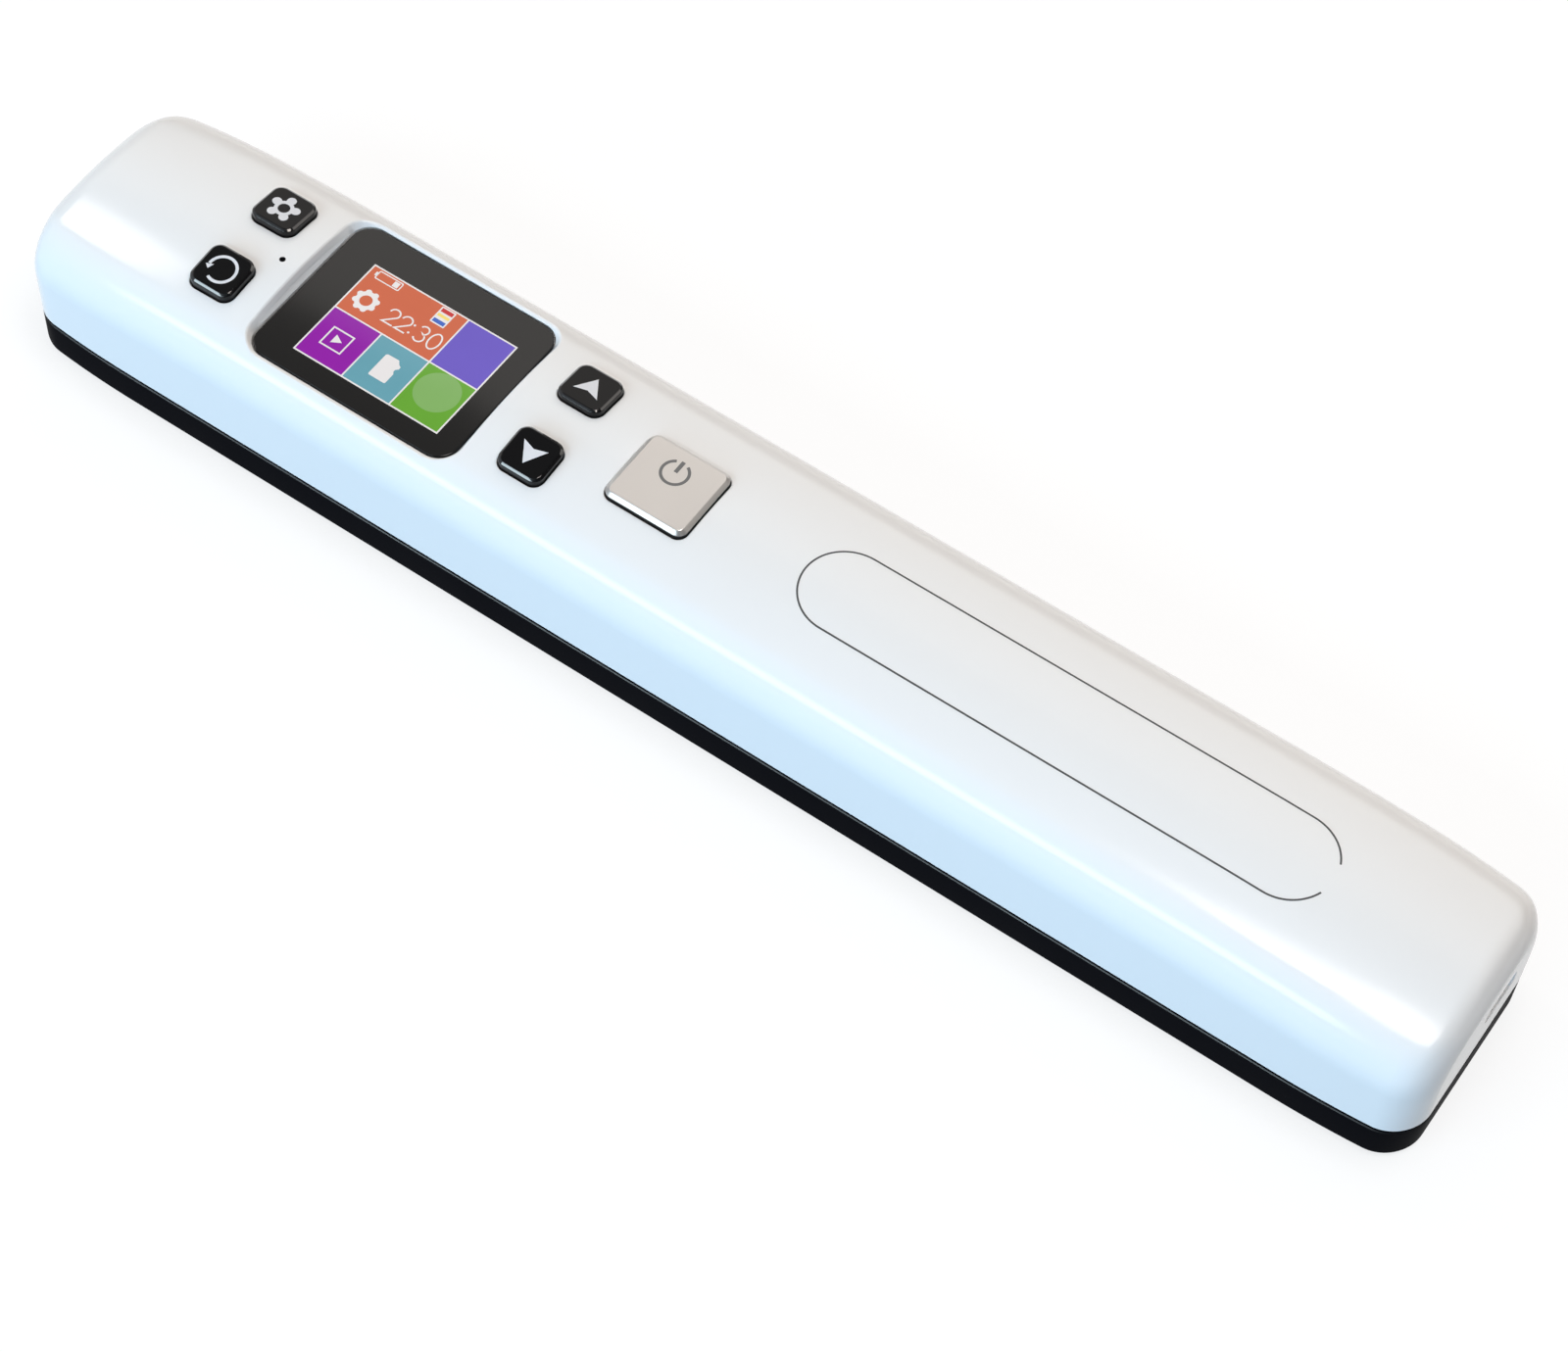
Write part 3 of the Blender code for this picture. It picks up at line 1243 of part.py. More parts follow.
def upper_plug_z():
    """The underside of the connector below the main board."""
    return BOARD_Z - CONNECTOR_HEIGHT


def make_sensor_cable(cable_skin):
    """A flat cable that folds from the sensor's board up to the main board."""
    lower = lower_plug_z() - CONNECTOR_HEIGHT / 2
    upper = upper_plug_z() + CONNECTOR_HEIGHT / 2
    bend_r = (upper - lower) / 2
    turn_x = CABLE_X - CONNECTOR_LENGTH - SEAT_GAP
    run_x = turn_x - CABLE_RUN + bend_r
    steps = 10
    middle = [(turn_x, lower), (run_x, lower)]
    for i in range(1, steps):
        angle = math.pi * i / steps
        middle.append((run_x - bend_r * math.sin(angle), lower + bend_r * (1 - math.cos(angle))))
    middle += [(run_x, upper), (turn_x, upper)]
    outer = offset_path(middle, CABLE_THICK / 2)
    inner = offset_path(middle, -CABLE_THICK / 2)
    front = SENSOR_Y - CABLE_WIDTH / 2 + SEAT_GAP
    back = SENSOR_Y + CABLE_WIDTH / 2 - SEAT_GAP
    add("sensor_cable", strip(outer, inner, front, back), cable_skin, smooth=35)


def offset_path(path, distance):
    """The path moved sideways by a distance, square to its run at each point."""
    moved = []
    for i, (x, z) in enumerate(path):
        before = path[max(i - 1, 0)]
        after = path[min(i + 1, len(path) - 1)]
        run = Vector((after[0] - before[0], after[1] - before[1])).normalized()
        moved.append((x - run.y * distance, z + run.x * distance))
    return moved


def strip(upper, lower, y_low, y_high):
    """A thin folded strip between two edge paths, as wide as y_low to y_high."""
    rings = []
    for (ux, uz), (lx, lz) in zip(upper, lower):
        rings.append([(ux, y_low, uz), (ux, y_high, uz), (lx, y_high, lz), (lx, y_low, lz)])
    return ring_stack(rings)


# Rollers


def turned(profile, a, b, steps):
    """A form turned about an X axis at (y, z) = (a, b) from (radius, x) pairs, solid inside."""
    return ring_stack([[(x, y, z) for y, z in circle(a, b, r, steps)] for r, x in profile])


def drive_roller(x):
    """A grooved rubber tyre moulded on its hub, bored for the shaft."""
    half = ROLLER_WIDTH / 2
    profile = [(ROLLER_R - ROLLER_GROOVE, x - half), (ROLLER_R, x - half + ROLLER_GROOVE)]
    for i in range(1, ROLLER_GROOVES + 1):
        place = x - half + ROLLER_WIDTH * i / (ROLLER_GROOVES + 1)
        profile += [
            (ROLLER_R, place - ROLLER_GROOVE),
            (ROLLER_R - ROLLER_GROOVE, place),
            (ROLLER_R, place + ROLLER_GROOVE),
        ]
    profile += [(ROLLER_R, x + half - ROLLER_GROOVE), (ROLLER_R - ROLLER_GROOVE, x + half)]
    tyre = add("tyre", turned(profile, ROLLER_Y, ROLLER_Z, 20))
    reach = half + OVERRUN
    carve(tyre, rod("X", ROLLER_Y, ROLLER_Z, SHAFT_R + SEAT_GAP, x - reach, x + reach))
    return as_shape(tyre)


def bearing(x):
    """A bearing block that drops between the tray's ribs."""
    low = FLOOR_Z + SEAT_GAP
    high = ROLLER_Z + SHAFT_R + BEARING_TOP_WALL
    half = BEARING_WIDTH / 2
    shoulder = BEARING_TOP_WALL / 2
    outline = [
        (ROLLER_Y - half, low),
        (ROLLER_Y + half, low),
        (ROLLER_Y + half, high - shoulder),
        (ROLLER_Y + half - shoulder, high),
        (ROLLER_Y - half + shoulder, high),
        (ROLLER_Y - half, high - shoulder),
    ]
    block = add("block", prism(outline, x - BEARING_THICK / 2, x + BEARING_THICK / 2, "X"))
    reach = BEARING_THICK / 2 + OVERRUN
    carve(block, rod("X", ROLLER_Y, ROLLER_Z, SHAFT_R + SEAT_GAP, x - reach, x + reach, 20))
    return as_shape(block)


def make_rollers(steel_skin, rubber_skin, bearing_skin):
    axis = (0.0, ROLLER_Y, ROLLER_Z)
    gear_low = gear_planes()[2]
    shaft = rod("X", ROLLER_Y, ROLLER_Z, SHAFT_R, gear_low, SHAFT_RIGHT_X)
    add("roller_shaft", shaft, steel_skin, axis, 35)
    for side, x in (("left", -ROLLER_X), ("right", ROLLER_X)):
        add("roller_" + side, drive_roller(x), rubber_skin, axis, 35)
    for name, x in (("left", -BEARING_X), ("middle", 0.0), ("right", BEARING_X)):
        add("bearing_" + name, bearing(x), bearing_skin)
    for side, x in (("left", -ROLLER_X), ("right", ROLLER_X)):
        half = SUPPORT_WIDTH / 2
        profile = (
            (SUPPORT_R - ROLLER_GROOVE, x - half),
            (SUPPORT_R, x - half + ROLLER_GROOVE),
            (SUPPORT_R, x + half - ROLLER_GROOVE),
            (SUPPORT_R - ROLLER_GROOVE, x + half),
        )
        wheel = add("wheel", turned(profile, SUPPORT_Y, SUPPORT_Z, 20))
        reach = half + OVERRUN
        carve(wheel, rod("X", SUPPORT_Y, SUPPORT_Z, PIN_R + SEAT_GAP, x - reach, x + reach))
        support_axis = (x, SUPPORT_Y, SUPPORT_Z)
        add("support_roller_" + side, as_shape(wheel), rubber_skin, support_axis, 35)
        pin_reach = half + 2 * SEAT_GAP + EAR_WALL + SEAT_GAP
        pin = rod("X", SUPPORT_Y, SUPPORT_Z, PIN_R, x - pin_reach, x + pin_reach, 12)
        add("support_pin_" + side, pin, steel_skin, smooth=35)


# Gear train


def outer_radius(teeth):
    return pitch_radius(teeth) + ADDENDUM_SHARE * GEAR_MODULE


def gear_outline(a, b, teeth, phase):
    """A spur gear's outline with a tooth centred on the phase angle."""
    root = pitch_radius(teeth) - DEDENDUM_SHARE * GEAR_MODULE
    tip = outer_radius(teeth)
    pitch = 2 * math.pi / teeth
    points = []
    for i in range(teeth):
        middle = phase + pitch * i
        for share, radius in (
            (-TOOTH_ROOT_SHARE, root),
            (-TOOTH_TIP_SHARE, tip),
            (TOOTH_TIP_SHARE, tip),
            (TOOTH_ROOT_SHARE, root),
        ):
            angle = middle + share * pitch / 2
            points.append((a + radius * math.cos(angle), b + radius * math.sin(angle)))
    return points


def gear_solid(centre, teeth, phase, low, high, bore_r):
    a, b = centre
    blank = add("blank", prism(gear_outline(a, b, teeth, phase), low, high, "X"))
    carve(blank, rod("X", a, b, bore_r, low - OVERRUN, high + OVERRUN))
    return blank


def gap_phase(teeth, angle):
    """The phase that puts a gap between teeth at an angle."""
    return angle + math.pi / teeth


def make_gears(gear_skin, disc_skin, bracket_skin, pin_skin):
    bracket_face, gear_high, gear_low, wheel_high, wheel_low, disc_high, disc_low = gear_planes()
    shaft_centre = (ROLLER_Y, ROLLER_Z)
    idler = idler_centre()
    encoder = encoder_centre()
    shaft_phase = gap_phase(SHAFT_TEETH, IDLER_ANGLE)
    shaft_bore = SHAFT_R + SEAT_GAP
    first = gear_solid(shaft_centre, SHAFT_TEETH, shaft_phase, gear_low, gear_high, shaft_bore)
    add("shaft_gear", as_shape(first), gear_skin, (gear_high, *shaft_centre), 35)
    bore = GEAR_PIN_R + SEAT_GAP
    pinion_phase = IDLER_ANGLE + math.pi
    pinion = gear_solid(idler, PINION_TEETH, pinion_phase, wheel_high - ROOT_IN, gear_high, bore)
    wheel = prism(
        gear_outline(*idler, IDLER_TEETH, gap_phase(IDLER_TEETH, ENCODER_ANGLE)), wheel_low, wheel_high, "X"
    )
    carve(pinion, wheel, "UNION")
    carve(pinion, rod("X", *idler, bore, wheel_low - OVERRUN, gear_high + OVERRUN))
    add("idler_gear", as_shape(pinion), gear_skin, (wheel_high, *idler), 35)
    small_phase = ENCODER_ANGLE + math.pi
    small = gear_solid(encoder, PINION_TEETH, small_phase, disc_high + SEAT_GAP, wheel_high, bore)
    add("encoder_gear", as_shape(small), gear_skin, (wheel_high, *encoder), 35)
    disc = add("disc", rod("X", *encoder, DISC_R, disc_low, disc_high, 2 * DISC_SLOTS))
    slots = [rod("X", *encoder, bore, disc_low - OVERRUN, disc_high + OVERRUN)]
    for i in range(DISC_SLOTS):
        slot = prism(
            disc_slot_outline(), disc_low - OVERRUN, disc_high + OVERRUN, "X"
        )
        turn = Matrix.Rotation(2 * math.pi * i / DISC_SLOTS, 4, "X")
        bmesh.ops.transform(slot, matrix=Matrix.Translation((0.0, *encoder)) @ turn, verts=slot.verts)
        slots.append(slot)
    carve(disc, gather(slots))
    add("encoder_disc", as_shape(disc), disc_skin, (disc_high, *encoder), 35)
    make_bracket(bracket_skin, bracket_face)
    for name, centre, end in (
        ("idler", idler, disc_high + SEAT_GAP),
        ("encoder", encoder, disc_low - 2 * SEAT_GAP),
    ):
        add(name + "_pin", rod("X", *centre, GEAR_PIN_R, end, BRACKET_X, 12), pin_skin, smooth=35)


def disc_slot_outline():
    """One radial slot near the disc's rim, wider outwards."""
    outer = DISC_R - DISC_SLOT_RIM
    inner = outer - DISC_SLOT_LENGTH
    half = DISC_SLOT_WIDTH / 2
    return [
        (inner, -half * inner / outer),
        (outer, -half),
        (outer, half),
        (inner, half * inner / outer),
    ]


def bracket_foot_y():
    return ROLLER_Y - BRACKET_RIM


def make_bracket(skin, face):
    """An upright plate in the tray's ribs that carries the gear pins."""
    idler = idler_centre()
    encoder = encoder_centre()
    foot = FLOOR_Z + SEAT_GAP
    outline = [
        (bracket_foot_y() - BRACKET_RIM, foot),
        (ROLLER_Y + BRACKET_RIM, foot),
        (ROLLER_Y + BRACKET_RIM, idler[1] + BRACKET_RIM),
        (encoder[0] + BRACKET_RIM, encoder[1] + BRACKET_RIM),
        (encoder[0] - BRACKET_RIM, encoder[1] + BRACKET_RIM),
        (encoder[0] - BRACKET_RIM, encoder[1] - BRACKET_RIM),
    ]
    plate = add("plate", prism(outline, face, BRACKET_X, "X"))
    holes = [rod("X", ROLLER_Y, ROLLER_Z, SHAFT_R + 2 * SEAT_GAP, face - OVERRUN, BRACKET_X + OVERRUN)]
    for centre in (idler, encoder):
        holes.append(rod("X", *centre, GEAR_PIN_R + SEAT_GAP, face - OVERRUN, BRACKET_X + OVERRUN))
    carve(plate, gather(holes))
    plate.data.materials.clear()
    plate.data.materials.append(skin)
    finish(plate, "gear_bracket")


def encoder_sensor_y():
    """The fork sensor's back face: its arms reach over the disc's rim and slots."""
    return encoder_centre()[0] - DISC_R - SEAT_GAP * 2 - SENSOR_U_BACK


def encoder_board_y():
    return encoder_sensor_y() - ENCODER_BOARD_THICK


def encoder_board_x():
    _, _, _, _, _, disc_high, disc_low = gear_planes()
    return (disc_high + disc_low) / 2 + ENCODER_BOARD_LENGTH / 4


def make_encoder_sensor(fork_skin):
    """The fork that reads the disc's slots, soldered to its small board."""
    _, _, _, _, _, disc_high, disc_low = gear_planes()
    _, centre_z = encoder_centre()
    back = encoder_sensor_y()
    clear = 2 * SEAT_GAP
    x_low = disc_low - clear - SENSOR_U_WALL
    x_high = disc_high + clear + SENSOR_U_WALL
    rim = back + SENSOR_U_BACK
    tip = rim + SENSOR_U_REACH
    outline = [
        (x_low, back),
        (x_high, back),
        (x_high, tip),
        (disc_high + clear, tip),
        (disc_high + clear, rim),
        (disc_low - clear, rim),
        (disc_low - clear, tip),
        (x_low, tip),
    ]
    half = SENSOR_U_HEIGHT / 2
    fork = add("fork", prism(outline, centre_z - half, centre_z + half))
    x = encoder_board_x()
    y = encoder_board_y()
    board = box(
        x - ENCODER_BOARD_LENGTH / 2,
        x + ENCODER_BOARD_LENGTH / 2,
        y,
        y + ENCODER_BOARD_THICK + SEAT_GAP,
        centre_z - ENCODER_BOARD_HEIGHT / 2,
        centre_z + ENCODER_BOARD_HEIGHT / 2,
    )
    carve(fork, board, "UNION")
    fork.data.materials.clear()
    fork.data.materials.append(fork_skin)
    finish(fork, "encoder_sensor")


# Case screws


def make_case_screws(skin):
    seat = BASE_Z + SCREW_SEAT - SEAT_GAP
    for i, (x, y) in enumerate(screw_places()):
        shape = screw(x, y, SCREW_R, SCREW_HEAD_R, seat - SCREW_HEAD_THICK, seat, screw_tip())
        add(f"casing_screw_{i + 1}", shape, skin, smooth=35)


def build():
    clear_scene()
    white = material("white gloss plastic", (0.86, 0.86, 0.87), 0.18)
    black = material("black base plastic", (0.012, 0.012, 0.014), 0.3)
    window = material("window black", (0.02, 0.02, 0.022), 0.05)
    lcd = material("display", (0.32, 0.12, 0.35), 0.3)
    key = material("key black", (0.022, 0.022, 0.024), 0.25)
    silver = material("key silver", (0.66, 0.63, 0.6), 0.3, 0.7)
    natural = material("natural plastic", (0.7, 0.7, 0.66), 0.5)
    dark_part = material("dark component", (0.03, 0.03, 0.035), 0.45)
    board = material("green board", (0.03, 0.16, 0.07), 0.45)
    steel = material("bright steel", (0.62, 0.62, 0.64), 0.3, 1.0)
    socket = material("tinned shell", (0.6, 0.6, 0.58), 0.35, 1.0)
    card = material("card black", (0.02, 0.02, 0.02), 0.4)
    cell = material("battery foil", (0.55, 0.57, 0.6), 0.35, 0.6)
    foam = material("foam pad", (0.06, 0.06, 0.06), 0.9)
    red = material("red lead", (0.6, 0.03, 0.03), 0.45)
    glass = material("scan glass", (0.75, 0.85, 0.82), 0.03, 0.0, 0.4)
    lens = material("lens block", (0.08, 0.08, 0.1), 0.2)
    guide = material("light guide", (0.9, 0.93, 0.95), 0.1, 0.0, 0.6)
    ribbon = material("flat cable", (0.8, 0.8, 0.78), 0.4)
    rubber = material("grey rubber", (0.12, 0.12, 0.125), 0.8)
    gear = material("gear white", (0.82, 0.81, 0.76), 0.4)

    make_top_casing(white)
    make_bottom_casing(black)
    make_screen(window, lcd)
    make_keys(key, silver, natural, dark_part)
    make_boards(board, steel)
    make_card(socket, card)
    make_port(board, socket, steel, dark_part)
    make_battery(cell, foam, red, dark_part)
    make_sensor(dark_part, glass, lens, guide, board, steel)
    make_sensor_cable(ribbon)
    make_rollers(steel, rubber, natural)
    make_gears(gear, dark_part, natural, steel)
    make_encoder_sensor(dark_part)
    make_case_screws(steel)


build()
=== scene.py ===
import json
import math

import bpy
from mathutils import Matrix, Vector


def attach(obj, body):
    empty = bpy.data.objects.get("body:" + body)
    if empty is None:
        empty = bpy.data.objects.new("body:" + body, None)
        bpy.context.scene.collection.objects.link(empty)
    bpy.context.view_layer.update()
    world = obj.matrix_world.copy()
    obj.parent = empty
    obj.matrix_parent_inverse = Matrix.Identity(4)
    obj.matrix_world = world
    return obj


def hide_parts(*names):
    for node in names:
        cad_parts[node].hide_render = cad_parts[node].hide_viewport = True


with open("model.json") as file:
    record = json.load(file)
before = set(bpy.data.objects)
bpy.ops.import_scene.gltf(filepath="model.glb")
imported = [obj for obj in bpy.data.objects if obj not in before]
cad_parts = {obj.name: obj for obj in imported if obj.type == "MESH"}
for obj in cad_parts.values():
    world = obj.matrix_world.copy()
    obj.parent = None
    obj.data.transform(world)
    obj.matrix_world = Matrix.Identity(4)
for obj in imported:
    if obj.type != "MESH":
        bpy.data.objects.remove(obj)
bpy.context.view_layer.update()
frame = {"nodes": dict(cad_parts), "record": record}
nodes = frame["nodes"]

# Pieces are modelled in millimetres, and settle() brings each one to metres.
MM = 0.001

# The body's form, as the casing solids have it
LENGTH = 256.0
WIDTH = 41.0
CORNER_R = 6.2
END_TAPER = 1.3
TAPER_LENGTH = 22.0
EDGE_R = 8.4
END_EDGE_R = 4.0
CROWN_R = 70.0
CROWN_Z = 29.3
LEFT_FALL = 2.7
RIGHT_FALL = 2.0
FALL_LENGTH = 45.0
LEAST_R = 1.0
SHELL_FOOT_Z = 8.55
BASE_Z = 0.6
BASE_TOP_Z = 8.25
BASE_ROUND = 1.2
ROUND_STEPS = 6
BASE_BEVEL = 0.5
HOLLOW_Z = (-2, 12)
CORE_Z = (-3, 16)

# At the foot of the tray's upper bevel runs a narrow, flatter ring that catches the light: its width, and
# its rise for each millimetre of width
EDGE_LIGHT = 0.18
EDGE_LIGHT_RISE = 0.8

# The thickness of the shell's skin, and how far the CAD's frames and bosses reach into a new skin
SKIN = 1.2
JOIN = 0.15

# How far cutters reach past what they cut, the hair that keeps two faces apart, how near a level counts as
# on it, and the gaps that are closed in a loft's seam, in a flat plate and in a CAD solid
PAST = 4.0
HAIR = 0.02
NEAR = 0.01
LOFT_GAP = 0.00005
PLATE_GAP = 0.0001
WELD_GAP = 0.0005

# Angles, in degrees, up to which a surface is shaded smooth
CASING_SMOOTH = 32
CAP_SMOOTH = 40

# How much a face's normal points up: on a slanted face, and at most on an upright one
SLANTED = (0.5, 0.9)
UPRIGHT = 0.3

# The screen's window in its pocket. The slopes run out further at the pocket's ends than at its sides.
SCREEN_X = -65.3
WINDOW = (38.6, 30.4)
WINDOW_R = 3.5
WINDOW_STEPS = 12
WINDOW_Z = (25.65, 26.85)
WINDOW_BEVEL = 0.18
LEDGE_Z = 25.35
CLEARANCE = 0.3
POCKET_RUN = (0.85, 0.42)
POCKET_RIM = 0.35

# The key holes: upright, with a narrow gap round the caps, and the places along a rim's curve
KEY_HOLE_Z = (27.0, 27.2)
KEY_HOLE_RUN = (0.0, 0.0)
KEY_HOLE_RIM = 0.3
KEY_GAP = 0.12
RIM_STEP = 1.5
RIM_BENDS = (0.0, 0.25, 0.5, 0.72)

# The keys. The chamfer's foot is lifted from an even chamfer, which makes it shallower, and the sinks are how
# far a cap and a stem reach into the flange between them.
KEY_SIZE = (8.2, 8.0)
KEY_R = 1.8
KEY_CHAMFER = 0.45
CHAMFER_LIFT = 0.132
KEY_SOFT = 0.09
KEY_SOFT_ANGLE = 28
CAP_SINK = 0.2
STEM_SINK = 0.3
POWER_SIZE = (14.8, 14.0)
POWER_R = 1.7
POWER_CHAMFER = 0.7
POWER_X = -15.2
KEY_ROW_Y = 7.65
LEFT_KEYS_X = -94.75
RIGHT_KEYS_X = -35.15
KEY_TOP_Z = 30.13
KEY_SLOPE = 0.110
FLANGE_Z = (24.8, 25.7)
FLANGE_RIM = 0.8
STEM_R = 0.9
STEM_LENGTH = 0.85
PINHOLE_X = -89.0
PINHOLE_R = 0.5
PINHOLE_LOW_Z = 21.0
PINHOLE_SIDES = 32
SWITCH_TOP_Z = 24.35
small_keys = {
    "settings": (LEFT_KEYS_X, KEY_ROW_Y),
    "back": (LEFT_KEYS_X, -KEY_ROW_Y),
    "up": (RIGHT_KEYS_X, KEY_ROW_Y),
    "down": (RIGHT_KEYS_X, -KEY_ROW_Y),
}

# The card slot and the port
CARD_X = -62.0
CARD_SLOT = (11.6, 1.6)
CARD_SLOT_Y = 20.4
CARD_SLOT_DEPTH = 3.0
CARD_Z = 20.15
SCOOP_R = 5.0
SCOOP_Y = 24.6
SCOOP_HALF = 2.75
SCOOP_SIDES = 96
PORT_Y = 4.0
PORT_Z = 17.6
PORT_SIZE = (8.6, 3.6)
PORT_R = 1.2
PORT_RIM = 0.3
PORT_RIM_STEPS = 4
PORT_DEPTH = 2.4


# Small steps of the work


def begin():
    """Leaves edit mode with nothing selected."""
    if bpy.context.object and bpy.context.object.mode != "OBJECT":
        bpy.ops.object.mode_set(mode="OBJECT")
    bpy.ops.object.select_all(action="DESELECT")


def take(name):
    """Names the piece that was just added."""
    piece = bpy.context.object
    piece.name = name
    piece.data.name = name
    return piece


def focus(piece):
    """Makes a piece the only one selected."""
    begin()
    piece.select_set(True)
    bpy.context.view_layer.objects.active = piece


def edit(piece):
    """Opens a piece in edit mode with all of it selected."""
    focus(piece)
    bpy.ops.object.mode_set(mode="EDIT")
    bpy.ops.mesh.select_all(action="SELECT")


def pick_edges(piece, test):
    """Opens a piece in edit mode with the edges selected whose middle and run pass a test."""
    edit(piece)
    bpy.ops.mesh.select_mode(type="EDGE")
    bpy.ops.mesh.select_all(action="DESELECT")
    bpy.ops.object.mode_set(mode="OBJECT")
    mesh = piece.data
    for edge in mesh.edges:
        one, two = (mesh.vertices[i].co for i in edge.vertices)
        edge.select = test((one + two) / 2, (two - one).normalized())
    bpy.ops.object.mode_set(mode="EDIT")


def finish_modifier(piece, kind, **settings):
    """Adds a modifier with these settings and applies it."""
    modifier = piece.modifiers.new(kind.lower(), kind)
    for key, value in settings.items():
        setattr(modifier, key, value)
    focus(piece)
    bpy.ops.object.modifier_apply(modifier=modifier.name)


def soften_edges(piece, width, angle):
    """Rounds the edges that turn by more than an angle."""
    limit = math.radians(angle)
    finish_modifier(
        piece, "BEVEL", width=width, segments=3, limit_method="ANGLE", angle_limit=limit, harden_normals=False
    )


def combine(piece, tool, operation="DIFFERENCE"):
    """Cuts a piece with a tool, or joins or crosses them, and puts the tool away."""
    finish_modifier(piece, "BOOLEAN", object=tool, operation=operation, solver="EXACT")
    bpy.data.objects.remove(tool)


def gather(pieces):
    """Joins several meshes that stand apart into one."""
    focus(pieces[0])
    for piece in pieces:
        piece.select_set(True)
    bpy.ops.object.join()
    return pieces[0]


def smooth(piece, angle):
    """Shades a piece smooth, but for the edges that turn by more than an angle."""
    focus(piece)
    bpy.ops.object.shade_smooth_by_angle(angle=math.radians(angle))


def settle(piece, skin, body):
    """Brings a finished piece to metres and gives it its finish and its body."""
    piece.data.transform(Matrix.Scale(MM, 4))
    piece.data.materials.clear()
    piece.data.materials.append(skin)
    for face in piece.data.polygons:
        face.material_index = 0
    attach(piece, body)


def second_finish(piece, skin, test):
    """Gives a settled piece another finish on the faces that pass a test of their middle and normal."""
    piece.data.materials.append(skin)
    for face in piece.data.polygons:
        if test(face.center / MM, face.normal):
            face.material_index = 1


def cad_copy(node):
    """A copy of a CAD solid in millimetres, its loose triangles merged."""
    begin()
    piece = nodes[node].copy()
    piece.data = nodes[node].data.copy()
    bpy.context.collection.objects.link(piece)
    piece.data.transform(Matrix.Scale(1 / MM, 4))
    piece.data.materials.clear()
    focus(piece)
    bpy.ops.mesh.customdata_custom_splitnormals_clear()
    edit(piece)
    bpy.ops.mesh.remove_doubles(threshold=WELD_GAP)
    begin()
    return piece


# The shapes that the pieces start from


def slab(name, x, y, length, width, low, high, corner, steps=8):
    """A block with its upright edges rounded."""
    begin()
    bpy.ops.mesh.primitive_cube_add(size=1, location=(x, y, (low + high) / 2))
    piece = take(name)
    piece.scale = (length, width, high - low)
    bpy.ops.object.transform_apply(location=True, rotation=True, scale=True)
    pick_edges(piece, lambda middle, run: abs(run.z) > 0.9)
    bpy.ops.mesh.bevel(offset=corner, segments=steps, affect="EDGES")
    begin()
    return piece


def rounded(x, y, length, width, radius, steps=10):
    """A closed outline of a rectangle with round corners."""
    points = []
    for i in range(4):
        side_x = 1 if i in (0, 3) else -1
        side_y = 1 if i < 2 else -1
        for j in range(steps + 1):
            turn = math.pi / 2 * (i + j / steps)
            points.append(
                (
                    x + side_x * (length / 2 - radius) + radius * math.cos(turn),
                    y + side_y * (width / 2 - radius) + radius * math.sin(turn),
                )
            )
    return points


def refine(points, step, closed=True):
    """An outline with points added along its long runs."""
    fine = []
    for one, two in zip(points, points[1:] + points[:1] if closed else points[1:]):
        count = max(1, round(math.dist(one, two) / step))
        for i in range(count):
            fine.append((one[0] + (two[0] - one[0]) * i / count, one[1] + (two[1] - one[1]) * i / count))
    return fine if closed else fine + points[-1:]


def loft(name, rings):
    """A closed skin: a grid laid over rings of points, joined along its seam and capped."""
    begin()
    columns = len(rings[0])
    bpy.ops.mesh.primitive_grid_add(x_subdivisions=columns, y_subdivisions=len(rings) - 1, size=2)
    piece = take(name)
    laid = [value for ring in rings for point in ring + ring[:1] for value in point]
    piece.data.vertices.foreach_set("co", laid)
    piece.data.update()
    edit(piece)
    bpy.ops.mesh.remove_doubles(threshold=LOFT_GAP)
    bpy.ops.mesh.select_all(action="SELECT")
    bpy.ops.mesh.fill_holes(sides=0)
    bpy.ops.mesh.select_all(action="SELECT")
    bpy.ops.mesh.normals_make_consistent(inside=False)
    begin()
    return piece


# The body's form


def corner_radius(inset):
    """The plan's corner radius on a form that is drawn in by an inset."""
    return max(CORNER_R - inset, LEAST_R)


def half_width(x, inset=0.0):
    """Half the body's width at a place along it, with its taper and round corners."""
    taper = max(0.0, abs(x) - (LENGTH / 2 - TAPER_LENGTH)) / TAPER_LENGTH
    radius = corner_radius(inset)
    past = min(max(0.0, abs(x) - (LENGTH / 2 - inset - radius)), radius)
    turn = radius - math.sqrt(radius**2 - past**2)
    return WIDTH / 2 - inset - END_TAPER * taper**2 - turn


def crown(x, inset=0.0):
    """The height of the roof's middle line, which falls and turns down at the ends."""
    fall = LEFT_FALL if x < 0 else RIGHT_FALL
    run = max(0.0, abs(x) - (LENGTH / 2 - FALL_LENGTH)) / FALL_LENGTH
    radius = max(END_EDGE_R - inset, END_EDGE_R / 6)
    past = min(max(0.0, abs(x) - (LENGTH / 2 - inset - radius)), radius)
    turn = radius - math.sqrt(radius**2 - past**2)
    return CROWN_Z - inset - fall * run**2 - turn


def stations(inset, step=4.0, fall_steps=16, corner_steps=18):
    """Places along X, close together where the form turns."""
    radius = corner_radius(inset)
    start = LENGTH / 2 - FALL_LENGTH
    turn_x = LENGTH / 2 - inset - radius
    count = round(start / step)
    half = [start * i / count for i in range(count)]
    half += [start + (turn_x - start) * i / fall_steps for i in range(fall_steps)]
    half += [turn_x + radius * math.sin(math.pi / 2 * i / corner_steps) for i in range(corner_steps + 1)]
    return [-x for x in reversed(half[1:])] + half


